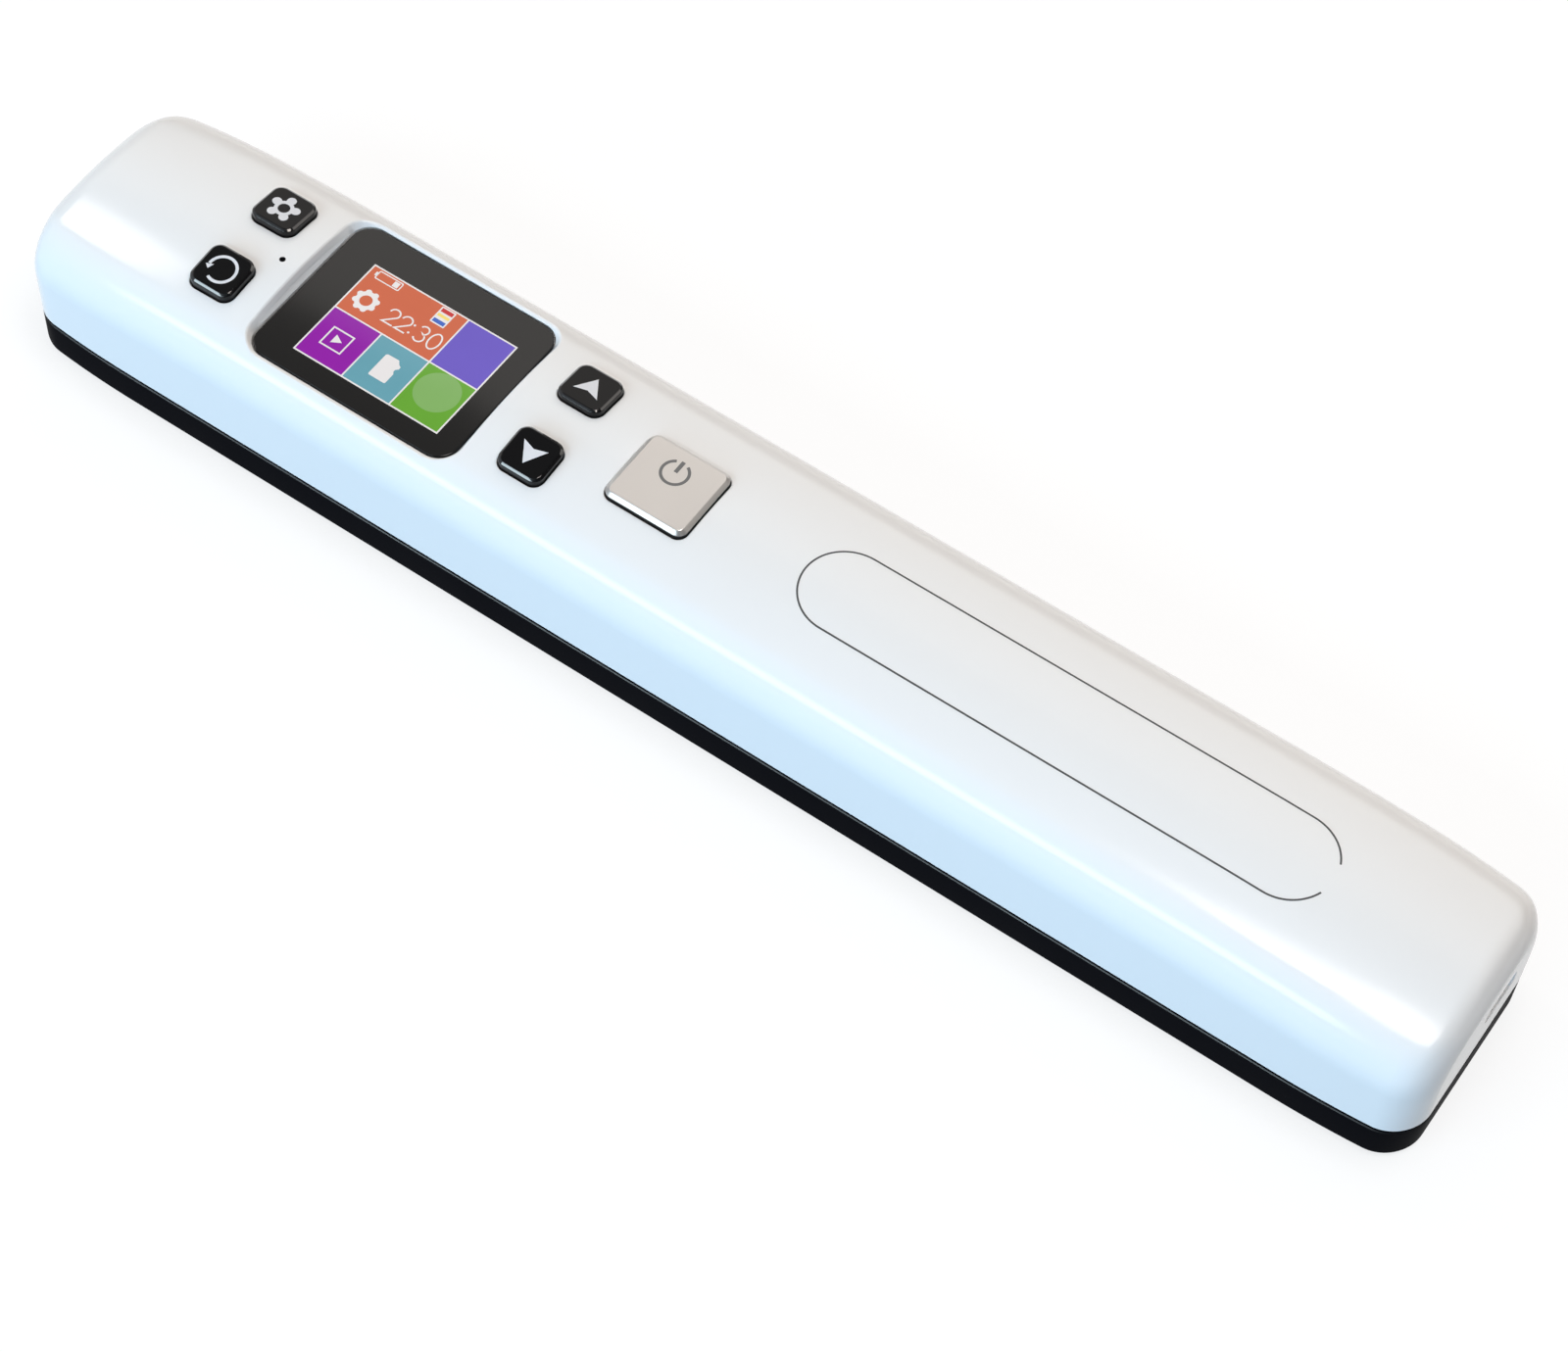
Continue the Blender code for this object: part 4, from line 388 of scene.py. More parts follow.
def roof_parts(x, inset=0.0):
    """The middle of the edge's arc, the lean of the crown where it meets it, and the crown."""
    edge_r, crown_r, top = EDGE_R - inset, CROWN_R - inset, crown(x, inset)
    reach = half_width(x, inset) - edge_r
    lean = math.asin(reach / (crown_r - edge_r))
    edge_z = top - crown_r + (crown_r - edge_r) * math.cos(lean)
    return edge_r, crown_r, top, reach, lean, edge_z


def section(x, inset, foot_z, edge_steps=14, crown_steps=24):
    """A closed outline across the shell: straight sides, round edges and a crowned roof."""
    edge_r, crown_r, top, reach, lean, edge_z = roof_parts(x, inset)
    side = [(x, half_width(x, inset), foot_z)]
    for i in range(edge_steps + 1):
        angle = (math.pi / 2 - lean) * i / edge_steps
        side.append((x, reach + edge_r * math.cos(angle), edge_z + edge_r * math.sin(angle)))
    roof = []
    for i in range(1, crown_steps):
        angle = lean * (1 - 2 * i / crown_steps)
        roof.append((x, crown_r * math.sin(angle), top - crown_r + crown_r * math.cos(angle)))
    return side + roof + [(x, -y, z) for _, y, z in reversed(side)]


def roof_z(x, y):
    """The height of the shell's outer face over a place in the plan."""
    edge_r, crown_r, top, reach, lean, edge_z = roof_parts(x)
    if abs(y) <= crown_r * math.sin(lean):
        return top - crown_r + math.sqrt(crown_r**2 - y**2)
    return edge_z + math.sqrt(max(edge_r**2 - (abs(y) - reach) ** 2, 0.0))


def shell_form(name, inset, foot_z):
    """The shell's outer form, drawn in by an inset."""
    return loft(name, [section(x, inset, foot_z) for x in stations(inset)])


def plan_ring(inset, z):
    """The outline of the body's plan at a height."""
    front = [(x, -half_width(x, inset), z) for x in stations(inset)]
    return front + [(x, -y, z) for x, y, z in reversed(front)]


# Openings, whose rims are softened as a mould leaves them


def roof_opening(name, x, y, size, radius, levels, runs, rim, gap):
    """A cutter through the roof: upright between two levels, then sloped, with a soft rim along the roof.

    The runs are how far the slopes reach outwards, at the ends and at the long sides.
    """
    low, rise_from = levels
    flat = refine(rounded(x, y, *size, radius), RIM_STEP)
    # The same outline one millimetre further out shows each point which way is outwards
    wide = refine(rounded(x, y, size[0] + 2, size[1] + 2, radius + 1), RIM_STEP)
    columns = []
    for (px, py), (qx, qy) in zip(flat, wide):
        out_x, out_y = qx - px, qy - py

        def place(grow, z):
            return (px + out_x * grow, py + out_y * grow, z)

        def roof_at(grow):
            return roof_z(px + out_x * grow, py + out_y * grow)

        # The rim curves from the slope, past the corner that it takes off, to the roof and a little above it
        run = runs[0] * out_x**2 + runs[1] * out_y**2
        top = roof_at(gap + run)
        corner = (gap + run, top)
        below = (gap + run * (1 - rim / (top - rise_from)), top - rim)
        beyond = (corner[0] + rim, roof_at(corner[0] + rim))
        column = [place(gap, low), place(gap, rise_from)]
        for u in RIM_BENDS:
            grow, z = (
                (1 - u) ** 2 * a + 2 * u * (1 - u) * b + u**2 * c
                for a, b, c in zip(below, corner, beyond)
            )
            column.append(place(grow, z))
        onward = [(b - a) * (1 - u) + (c - b) * u for a, b, c in zip(below, corner, beyond)]
        grow, z = grow + onward[0] / 2, z + onward[1] / 2
        column += [place(grow, z), place(grow, CROWN_Z + PAST)]
        columns.append(column)
    return loft(name, [list(ring) for ring in zip(*columns)])


def rod(name, x, y, radius, low, high, sides=48):
    """An upright round rod."""
    begin()
    bpy.ops.mesh.primitive_cylinder_add(
        vertices=sides, radius=radius, depth=high - low, location=(x, y, (low + high) / 2)
    )
    piece = take(name)
    bpy.ops.object.transform_apply(location=True, rotation=True, scale=True)
    return piece


# Finishes

# The mottling is this many times wider than the grain, and this part of its noise turns into gloss
MOTTLE = 22
NOISE_SPAN = (0.3, 0.7)
LEAST_ROUGHNESS = 0.02
COAT_ROUGHNESS = 0.05


def fill(node, **values):
    """Sets a shader node's sockets, by name, with _ for a space."""
    for name, value in values.items():
        node.inputs[name.replace("_", " ")].default_value = value


def add_node(tree, kind, **values):
    node = tree.nodes.new("ShaderNode" + kind)
    fill(node, **values)
    return node


def add_mix(tree, one, two):
    """Adds a node that mixes two colours."""
    node = tree.nodes.new("ShaderNodeMix")
    node.data_type = "RGBA"
    fill(node, A=(*one, 1), B=(*two, 1))
    return node


def wire(tree, *links):
    for source, target in links:
        tree.links.new(source, target)


def finish_of(
    name,
    colour,
    roughness,
    metallic=0.0,
    grain=1.2,
    grain_height=0.002,
    gloss_spread=0.06,
    tint_spread=0.03,
    specular=0.5,
    coat=0.0,
    stretch=(1, 1, 1),
):
    """A finish with faint mottling, uneven gloss and fine grain. The grain is in millimetres."""
    skin = bpy.data.materials.new(name)
    skin.use_nodes = True
    tree = skin.node_tree
    shader = tree.nodes["Principled BSDF"]
    fill(shader, Metallic=metallic, Specular_IOR_Level=specular)
    fill(shader, Coat_Weight=coat, Coat_Roughness=COAT_ROUGHNESS)
    place = add_node(tree, "TexCoord")
    turn = add_node(tree, "Mapping", Scale=stretch)
    broad = add_node(tree, "TexNoise", Scale=1 / (grain * MOTTLE * MM), Detail=3)
    fine = add_node(tree, "TexNoise", Scale=1 / (grain * MM), Detail=2)
    darker, lighter = ([min(1, c * (1 + way * tint_spread)) for c in colour] for way in (-1, 1))
    tint = add_mix(tree, darker, lighter)
    gloss = add_node(
        tree,
        "MapRange",
        From_Min=NOISE_SPAN[0],
        From_Max=NOISE_SPAN[1],
        To_Min=max(roughness - gloss_spread, LEAST_ROUGHNESS),
        To_Max=min(roughness + gloss_spread, 1),
    )
    bump = add_node(tree, "Bump", Strength=1.0, Distance=grain_height * MM)
    wire(
        tree,
        (place.outputs["Object"], turn.inputs["Vector"]),
        (turn.outputs["Vector"], broad.inputs["Vector"]),
        (turn.outputs["Vector"], fine.inputs["Vector"]),
        (broad.outputs["Fac"], tint.inputs["Factor"]),
        (tint.outputs["Result"], shader.inputs["Base Color"]),
        (broad.outputs["Fac"], gloss.inputs["Value"]),
        (gloss.outputs["Result"], shader.inputs["Roughness"]),
        (fine.outputs["Fac"], bump.inputs["Height"]),
        (bump.outputs["Normal"], shader.inputs["Normal"]),
    )
    return skin


KEY_BLACK = (0.003, 0.003, 0.0035)
BASE_BLACK = (0.003, 0.003, 0.0042)

shell_white = finish_of(
    "shell_white", (0.84, 0.835, 0.825), 0.15,
    grain=2.5, grain_height=0.0005, gloss_spread=0.012, tint_spread=0.01,
)
base_black = finish_of(
    "base_black", BASE_BLACK, 0.5, grain=0.8, grain_height=0.0015, gloss_spread=0.04, specular=0.006
)
base_edge = finish_of("base_edge", BASE_BLACK, 0.3, grain=0.8, grain_height=0.0005, specular=0.8)
window_black = finish_of(
    "window_black", (0.004, 0.004, 0.004), 0.08, grain=6, grain_height=0.0002, gloss_spread=0.02
)
key_black = finish_of(
    "key_black", KEY_BLACK, 0.09, grain=1.5, grain_height=0.0004, gloss_spread=0.02, specular=0.22
)
key_edge = finish_of(
    "key_edge", KEY_BLACK, 0.09, grain=1.5, grain_height=0.0004, gloss_spread=0.02, specular=1.0, coat=1.0
)
key_silver = finish_of(
    "key_silver", (0.74, 0.71, 0.68), 0.3, metallic=0.85, grain=0.9, grain_height=0.0006, gloss_spread=0.05
)
# Painted shade: the silver power key's sides get this near-black metal, standing in for the dark reflection
# and gap shade round the key.
key_side = finish_of("key_side", (0.03, 0.03, 0.032), 0.35, metallic=0.85, grain=0.9, grain_height=0.0006)
mark_light = finish_of("mark_light", (0.72, 0.72, 0.74), 0.5, grain=0.6, grain_height=0.0005)
mark_grey = finish_of("mark_grey", (0.15, 0.145, 0.14), 0.5, grain=0.6, grain_height=0.0005)
line_grey = finish_of("line_grey", (0.06, 0.06, 0.062), 0.5, grain=0.6, grain_height=0.0005)
# Dark plastic of the dark components, also used as painted shade on the walls of the white shell's pinhole
dark_plastic_and_shade = finish_of("dark_plastic_and_shade", (0.014, 0.014, 0.016), 0.55, grain=0.5, grain_height=0.006)
natural_plastic = finish_of("natural_plastic", (0.66, 0.65, 0.6), 0.42, grain=1.0, grain_height=0.002)
board_green = finish_of("board_green", (0.02, 0.12, 0.05), 0.35, grain=0.7, grain_height=0.003)
bright_steel = finish_of(
    "bright_steel", (0.62, 0.62, 0.63), 0.28, metallic=1.0, grain=0.4, stretch=(0.1, 1, 1)
)
tinned_steel = finish_of("tinned_steel", (0.66, 0.66, 0.64), 0.34, metallic=1.0, grain=0.7)
card_black = finish_of("card_black", (0.012, 0.012, 0.012), 0.45, grain=0.4)
foil = finish_of("foil", (0.6, 0.61, 0.63), 0.3, metallic=1.0, grain=2.0, grain_height=0.02)
foam = finish_of("foam", (0.03, 0.03, 0.03), 0.95, grain=0.25, grain_height=0.05)
red_wire = finish_of("red_wire", (0.5, 0.015, 0.012), 0.4, grain=0.5)
clear_glass = finish_of(
    "clear_glass", (0.8, 0.9, 0.87), 0.05, grain=5, grain_height=0.0001, gloss_spread=0.01
)
fill(clear_glass.node_tree.nodes["Principled BSDF"], Transmission_Weight=0.9)
guide_clear = finish_of("guide_clear", (0.85, 0.88, 0.9), 0.12, grain=2)
cable_white = finish_of("cable_white", (0.62, 0.62, 0.6), 0.4, grain=0.6)
rubber_grey = finish_of("rubber_grey", (0.045, 0.045, 0.048), 0.75, grain=0.35, grain_height=0.01)

finishes = {
    "white_shell": shell_white,
    "black_base": base_black,
    "window_glass": window_black,
    "display": window_black,
    "key_black": key_black,
    "key_silver": key_silver,
    "dark_component": dark_plastic_and_shade,
    "natural_plastic": natural_plastic,
    "circuit_board": board_green,
    "steel": bright_steel,
    "tinned_shell": tinned_steel,
    "card_black": card_black,
    "battery_foil": foil,
    "foam": foam,
    "red_lead": red_wire,
    "scan_glass": clear_glass,
    "light_guide": guide_clear,
    "flat_cable": cable_white,
    "rubber": rubber_grey,
}
for part in frame["record"]["subparts"]:
    node = nodes[part["node"]]
    for slot in node.material_slots:
        slot.material = finishes[part["material_slot"]]

# Parts that show from below and behind get the small broken edges of moulded and turned parts
SHOWN = (
    "sensor_housing",
    "roller_left",
    "roller_right",
    "support_roller_left",
    "support_roller_right",
    "support_pin_left",
    "support_pin_right",
    "roller_shaft",
    "casing_screw_1",
    "casing_screw_2",
    "casing_screw_3",
    "casing_screw_4",
    "usb_socket",
    "memory_card",
)
EDGE_BREAK = 0.07
BREAK_ANGLE = 50
for name in SHOWN:
    weld = nodes[name].modifiers.new("weld", "WELD")
    weld.merge_threshold = WELD_GAP * MM
    soften = nodes[name].modifiers.new("soften", "BEVEL")
    soften.width = EDGE_BREAK * MM
    soften.segments = 2
    soften.limit_method = "ANGLE"
    soften.angle_limit = math.radians(BREAK_ANGLE)
    soften.harden_normals = False

# White shell


def port_opening():
    """A cutter for the port, along the body, with a soft rim at the end's face."""
    rings = []
    rim_x = LENGTH / 2 - PORT_RIM
    levels = [(LENGTH / 2 - PORT_DEPTH, 0.0), (rim_x, 0.0)]
    for i in range(1, PORT_RIM_STEPS + 1):
        angle = math.pi / 2 * i / PORT_RIM_STEPS
        levels.append((rim_x + PORT_RIM * math.sin(angle), PORT_RIM * (1 - math.cos(angle))))
    levels.append((LENGTH / 2 + PAST, PORT_RIM))
    for x, grow in levels:
        wide = 2 * (grow + HAIR)
        outline = rounded(PORT_Y, PORT_Z, PORT_SIZE[0] + wide, PORT_SIZE[1] + wide, PORT_R + grow)
        rings.append([(x, y, z) for y, z in outline])
    return loft("port_opening", rings)


def make_shell():
    """The moulded upper shell: a thin outer skin, the inner frames and bosses, then its openings."""
    shell = shell_form("shell", 0.0, SHELL_FOOT_Z)
    combine(shell, shell_form("room", SKIN, SHELL_FOOT_Z - PAST))
    inside = cad_copy("top_casing")
    combine(inside, shell_form("core", SKIN - JOIN, SHELL_FOOT_Z - PAST), "INTERSECT")
    combine(shell, inside, "UNION")
    window = (WINDOW[0] + HAIR, WINDOW[1] + HAIR)
    pocket = ((LEDGE_Z, WINDOW_Z[1]), POCKET_RUN, POCKET_RIM, CLEARANCE)
    key_hole = (KEY_HOLE_Z, KEY_HOLE_RUN, KEY_HOLE_RIM, KEY_GAP)
    slot = (CARD_SLOT[0] + 2 * HAIR, CARD_SLOT_DEPTH)
    slot_z = (CARD_Z - CARD_SLOT[1] / 2 - HAIR, CARD_Z + CARD_SLOT[1] / 2 + HAIR)
    cutters = [roof_opening("pocket", SCREEN_X, 0, window, WINDOW_R, *pocket)]
    for x, y in small_keys.values():
        cutters.append(roof_opening("key_hole", x, y, KEY_SIZE, KEY_R, *key_hole))
    cutters += [
        roof_opening("power_hole", POWER_X, 0, POWER_SIZE, POWER_R, *key_hole),
        rod("pinhole", PINHOLE_X, 0, PINHOLE_R + HAIR, PINHOLE_LOW_Z, CROWN_Z + PAST, PINHOLE_SIDES),
        port_opening(),
        slab("card_opening", CARD_X, CARD_SLOT_Y, *slot, *slot_z, HAIR, 1),
    ]
    combine(shell, gather(cutters))
    begin()
    bpy.ops.mesh.primitive_cylinder_add(
        vertices=SCOOP_SIDES,
        radius=SCOOP_R,
        depth=2 * SCOOP_HALF,
        location=(CARD_X, SCOOP_Y, CARD_Z),
        rotation=(0, math.pi / 2, 0),
    )
    scoop = take("scoop")
    bpy.ops.object.transform_apply(location=True, rotation=True, scale=True)
    combine(shell, scoop)
    smooth(shell, CASING_SMOOTH)
    finish_modifier(shell, "WEIGHTED_NORMAL", keep_sharp=True)
    settle(shell, shell_white, "housing")

    # Painted shade: the pinhole's walls in the white shell are given dark plastic, standing in for the shade
    # down the hole.
    def in_pinhole_shade(middle, normal):
        away = math.hypot(middle.x - PINHOLE_X, middle.y)
        return away < PINHOLE_R + 2 * HAIR and abs(normal.z) < UPRIGHT and middle.z > SWITCH_TOP_Z

    second_finish(shell, dark_plastic_and_shade, in_pinhole_shade)
    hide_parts("top_casing")


def make_base():
    """The black tray: a finely turned rim round the tray's floor, bosses and openings."""
    levels = []
    for i in range(ROUND_STEPS + 1):
        angle = math.pi / 2 * i / ROUND_STEPS
        levels.append((BASE_ROUND * (1 - math.sin(angle)), BASE_Z + BASE_ROUND * (1 - math.cos(angle))))
    foot = BASE_TOP_Z - BASE_BEVEL - EDGE_LIGHT
    levels += [(0.0, foot), (EDGE_LIGHT, foot + EDGE_LIGHT_RISE * EDGE_LIGHT), (BASE_BEVEL, BASE_TOP_Z)]
    base = loft("base", [plan_ring(inset, z) for inset, z in levels])
    combine(base, loft("hollow", [plan_ring(BASE_ROUND + JOIN, z) for z in HOLLOW_Z]))
    inside = cad_copy("bottom_casing")
    combine(inside, loft("core", [plan_ring(BASE_ROUND + JOIN / 3, z) for z in CORE_Z]), "INTERSECT")
    combine(base, inside, "UNION")
    smooth(base, CASING_SMOOTH)
    settle(base, base_black, "housing")

    def on_edge_light(middle, normal):
        return SLANTED[0] < normal.z < SLANTED[1] and foot < middle.z < foot + EDGE_LIGHT

    second_finish(base, base_edge, on_edge_light)
    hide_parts("bottom_casing")


make_shell()
make_base()

# Keys


def key_lean(y):
    """How much a key's top falls towards its side of the roof."""
    return math.copysign(KEY_SLOPE, y) if y else 0.0


def make_key(name, x, y, size, corner, chamfer, skin):
    """A key cap with a chamfered top that follows the crown, over its flange and stem."""
    key = slab(name, x, y, *size, FLANGE_Z[1] - CAP_SINK, KEY_TOP_Z, corner)
    pick_edges(key, lambda middle, run: middle.z > KEY_TOP_Z - NEAR)
    bpy.ops.mesh.bevel(offset=chamfer, segments=1, affect="EDGES")
    begin()
    for point in key.data.vertices:
        if abs(point.co.z - KEY_TOP_Z + chamfer) < NEAR:
            point.co.z += CHAMFER_LIFT
        if point.co.z > KEY_TOP_Z - 2 * chamfer:
            point.co.z -= key_lean(y) * (point.co.y - y)
    soften_edges(key, KEY_SOFT, KEY_SOFT_ANGLE)
    rim = 2 * FLANGE_RIM
    flange = slab("flange", x, y, size[0] + rim, size[1] + rim, *FLANGE_Z, corner + FLANGE_RIM)
    stem = rod("stem", x, y, STEM_R, FLANGE_Z[0] - STEM_LENGTH, FLANGE_Z[0] + STEM_SINK)
    combine(key, flange, "UNION")
    combine(key, stem, "UNION")
    smooth(key, CAP_SMOOTH)
    finish_modifier(key, "WEIGHTED_NORMAL", keep_sharp=True)
    body = name.replace("_key_cap", "_key")
    settle(key, skin, body)

    # Painted shade: the power key's upright sides are made near-black, standing in for dark reflection and
    # gap shade round its top.
    def on_painted_shade_side(middle, normal):
        return abs(normal.z) < UPRIGHT and middle.z > FLANGE_Z[1]

    def on_chamfer(middle, normal):
        return SLANTED[0] < normal.z < SLANTED[1]

    if skin is key_silver:
        second_finish(key, key_side, on_painted_shade_side)
    else:
        second_finish(key, key_edge, on_chamfer)
    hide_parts(body.replace("_key", "_button"))


for name, (x, y) in small_keys.items():
    make_key(name + "_key_cap", x, y, KEY_SIZE, KEY_R, KEY_CHAMFER, key_black)
make_key("power_key_cap", POWER_X, 0, POWER_SIZE, POWER_R, POWER_CHAMFER, key_silver)

# Printed and inlaid marks


def cut_out(name, outlines, thick):
    """A thin plate cut to closed outlines. An outline inside another is a hole."""
    begin()
    curve = bpy.data.curves.new(name, "CURVE")
    curve.dimensions = "2D"
    curve.fill_mode = "BOTH"
    curve.extrude = thick / 2
    for outline in outlines:
        spline = curve.splines.new("POLY")
        spline.points.add(len(outline) - 1)
        for point, (x, y) in zip(spline.points, outline):
            point.co = (x, y, 0, 1)
        spline.use_cyclic_u = True
    piece = bpy.data.objects.new(name, curve)
    bpy.context.collection.objects.link(piece)
    focus(piece)
    bpy.ops.object.convert(target="MESH")
    piece = take(name)
    edit(piece)
    bpy.ops.mesh.remove_doubles(threshold=PLATE_GAP)
    bpy.ops.mesh.normals_make_consistent(inside=False)
    begin()
    return piece


def lay(piece, x, y, z, lean=0.0):
    """Moves a flat plate to its place, tilted to follow a key's top."""
    for point in piece.data.vertices:
        point.co.z += z - lean * point.co.y
        point.co.x += x
        point.co.y += y


def arc(radius, start, end, steps=48):
    """Points along part of a circle, its angles in degrees."""
    turns = [math.radians(start + (end - start) * i / steps) for i in range(steps + 1)]
    return [(radius * math.cos(t), radius * math.sin(t)) for t in turns]


def at(points, x, y):
    """Points of the plan moved to a place."""
    return [(px + x, py + y) for px, py in points]


def disc(radius, steps=48):
    """A closed round outline."""
    return arc(radius, 0, 360, steps)[:-1]


def box_of(x0, x1, y0, y1):
    """A closed outline with these four sides."""
    return [(x0, y0), (x1, y0), (x1, y1), (x0, y1)]


def band(radius, width, start, end):
    """A closed outline of part of a ring."""
    return arc(radius + width / 2, start, end) + arc(radius - width / 2, end, start)


def stroke(points, width, closed=False):
    """A closed outline along a drawn line, with mitred bends."""
    left, right = [], []
    count = len(points)
    for i, (x, y) in enumerate(points):
        before = points[i - 1] if closed or i else None
        after = points[(i + 1) % count] if closed or i < count - 1 else None
        runs = []
        for one, two in ((before, (x, y)), ((x, y), after)):
            if one is not None and two is not None:
                length = math.dist(one, two)
                runs.append(((two[0] - one[0]) / length, (two[1] - one[1]) / length))
        run_x = sum(r[0] for r in runs) / len(runs)
        run_y = sum(r[1] for r in runs) / len(runs)
        size = (run_x**2 + run_y**2) * 2 / width
        left.append((x - run_y / size, y + run_x / size))
        right.append((x + run_y / size, y - run_x / size))
    if closed:
        return [left, right]
    return [left + right[::-1]]


MARK_THICK = 0.03
MARK_STROKE = 0.5
RING_SHIFT = 0.26
RING_Y = 2.17
PLATE_THICK = MARK_THICK / 3


def gear_outline(lobes, out, lobe_r, valley, start, steps=32):
    """A gear with round lobes: discs set round a disc."""
    points = []
    for i in range(lobes * steps):
        off = 2 * math.pi * ((i + steps // 2) % steps - steps // 2) / (lobes * steps)
        room = lobe_r**2 - (out * math.sin(off)) ** 2
        reach = max(valley, out * math.cos(off) + math.sqrt(room)) if room > 0 else valley
        turn = math.radians(start) + 2 * math.pi * i / (lobes * steps)
        points.append((reach * math.cos(turn), reach * math.sin(turn)))
    return points


def key_mark(name, outlines, x, y, skin, body):
    """A mark inlaid in a key's top, which moves with the key."""
    plates = [cut_out(name, outline, MARK_THICK) for outline in outlines]
    mark = gather(plates)
    lay(mark, x, y, KEY_TOP_Z, key_lean(y))
    settle(mark, skin, body)


settings_mark = [[gear_outline(lobes=5, out=1.95, lobe_r=0.78, valley=1.62, start=90), disc(1.0)]]
key_mark("settings_mark", settings_mark, LEFT_KEYS_X, KEY_ROW_Y, mark_light, "settings_key")
arrow_head = [arc(radius, turn, turn, 1)[0] for radius, turn in ((2.9, 188), (2.3, 206), (1.65, 177))]
back_mark = [[band(radius=2.38, width=MARK_STROKE, start=-118, end=182)], [arrow_head]]
key_mark("back_mark", back_mark, LEFT_KEYS_X, -KEY_ROW_Y, mark_light, "back_key")
for name, side in (("up", 1), ("down", -1)):
    head = [(0, 2.1 * side), (2.25, -1.5 * side), (0, -0.8 * side), (-2.25, -1.5 * side)]
    key_mark(name + "_mark", [[head]], RIGHT_KEYS_X, KEY_ROW_Y * side, mark_light, name + "_key")
power_ring = at(band(radius=2.19, width=MARK_STROKE, start=118, end=422), 0, RING_Y)
power_bar = at(box_of(-0.33, 0.33, 0.1, 2.4), 0, RING_Y)
power_mark = [[power_ring], [power_bar]]
key_mark("power_mark", power_mark, POWER_X - RING_SHIFT, 0, mark_grey, "power_key")

# The thin printed outline round the bare name place: the middles of its round ends, their radius, the
# line's width, the steps along it in degrees and in millimetres, and half of its opening in degrees
NAME_X = (17.4, 93.2)
NAME_R = 7.46
NAME_STROKE = 0.3
NAME_TURN = 4
NAME_STEP = 2
NAME_OPEN = 22


def make_name_line():
    """A long oval with a short opening at its right end, laid along the roof."""
    path = []
    left, right = NAME_X
    for x, start, end in ((right, NAME_OPEN, 90), (left, 90, 270), (right, 270, 360 - NAME_OPEN)):
        path += at(arc(NAME_R, start, end, round((end - start) / NAME_TURN)), x, 0)
    fine = refine(path, NAME_STEP, closed=False)
    outline = stroke(fine, NAME_STROKE)[0]
    one_side, other_side = outline[: len(fine)], outline[len(fine) :][::-1]
    rings = []
    for (ax, ay), (bx, by) in zip(one_side, other_side):
        a, b = roof_z(ax, ay), roof_z(bx, by)
        rings.append([(ax, ay, a - HAIR), (bx, by, b - HAIR), (bx, by, b + HAIR), (ax, ay, a + HAIR)])
    line = loft("name_line", rings)
    settle(line, line_grey, "housing")


make_name_line()

# The screen's window with its picture


def make_window():
    """The screen's window: a glossy black slab with softened edges."""
    window = slab("window", SCREEN_X, 0, *WINDOW, *WINDOW_Z, WINDOW_R, WINDOW_STEPS)
    soften_edges(window, WINDOW_BEVEL, CAP_SMOOTH)
    smooth(window, CAP_SMOOTH)
    finish_modifier(window, "WEIGHTED_NORMAL", keep_sharp=True)
    settle(window, window_black, "housing")
    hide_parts("screen_window")


make_window()

# The picture's size, its middle, the width of the lines between its tiles, and how strongly it is lit
PICTURE = (27.6, 20.3)
PICTURE_X = -64.18
PICTURE_Y = -1.04
LINE = 0.28
GLOW = 0.18


def screen_finish(name, colour):
    """A lit colour under the window's gloss, faintly uneven."""
    skin = finish_of(name, colour, 0.3, grain=0.4, grain_height=0.0, coat=0.6, tint_spread=0.05)
    shader = skin.node_tree.nodes["Principled BSDF"]
    fill(shader, Specular_IOR_Level=0.0, Emission_Color=(*colour, 1), Emission_Strength=GLOW)
    return skin


screen_white = screen_finish("screen_white", (0.72, 0.68, 0.66))
tile_orange = screen_finish("tile_orange", (0.54, 0.115, 0.05))
tile_indigo = screen_finish("tile_indigo", (0.13, 0.085, 0.45))
tile_purple = screen_finish("tile_purple", (0.25, 0.01, 0.32))
tile_teal = screen_finish("tile_teal", (0.12, 0.31, 0.37))
tile_green = screen_finish("tile_green", (0.12, 0.33, 0.03))
icon_red = screen_finish("icon_red", (0.5, 0.03, 0.03))
icon_yellow = screen_finish("icon_yellow", (0.8, 0.6, 0.15))
icon_blue = screen_finish("icon_blue", (0.05, 0.12, 0.45))
tile_pale_green = screen_finish("tile_pale_green", (0.2, 0.38, 0.11))


def screen_plate(name, outlines, layer, skin):
    """A flat part of the picture, laid a hair above the one below it."""
    plates = [cut_out(name, outline, PLATE_THICK) for outline in outlines]
    plate = gather(plates)
    lay(plate, PICTURE_X, PICTURE_Y, WINDOW_Z[1] + layer * PLATE_THICK)
    settle(plate, skin, "housing")


half_x, half_y = PICTURE[0] / 2, PICTURE[1] / 2
third = PICTURE[0] / 3
tiles = {
    "tile_orange": (-half_x, half_x - third, 0, half_y, tile_orange),
    "tile_indigo": (half_x - third, half_x, 0, half_y, tile_indigo),
    "tile_purple": (-half_x, -half_x + third, -half_y, 0, tile_purple),
    "tile_teal": (-half_x + third, half_x - third, -half_y, 0, tile_teal),
    "tile_green": (half_x - third, half_x, -half_y, 0, tile_green),
}
gap = LINE / 2
back = box_of(-half_x - gap, half_x + gap, -half_y - gap, half_y + gap)
screen_plate("picture_back", [[back]], 0, screen_white)
for name, (x0, x1, y0, y1, skin) in tiles.items():
    screen_plate(name, [[box_of(x0 + gap, x1 - gap, y0 + gap, y1 - gap)]], 1, skin)

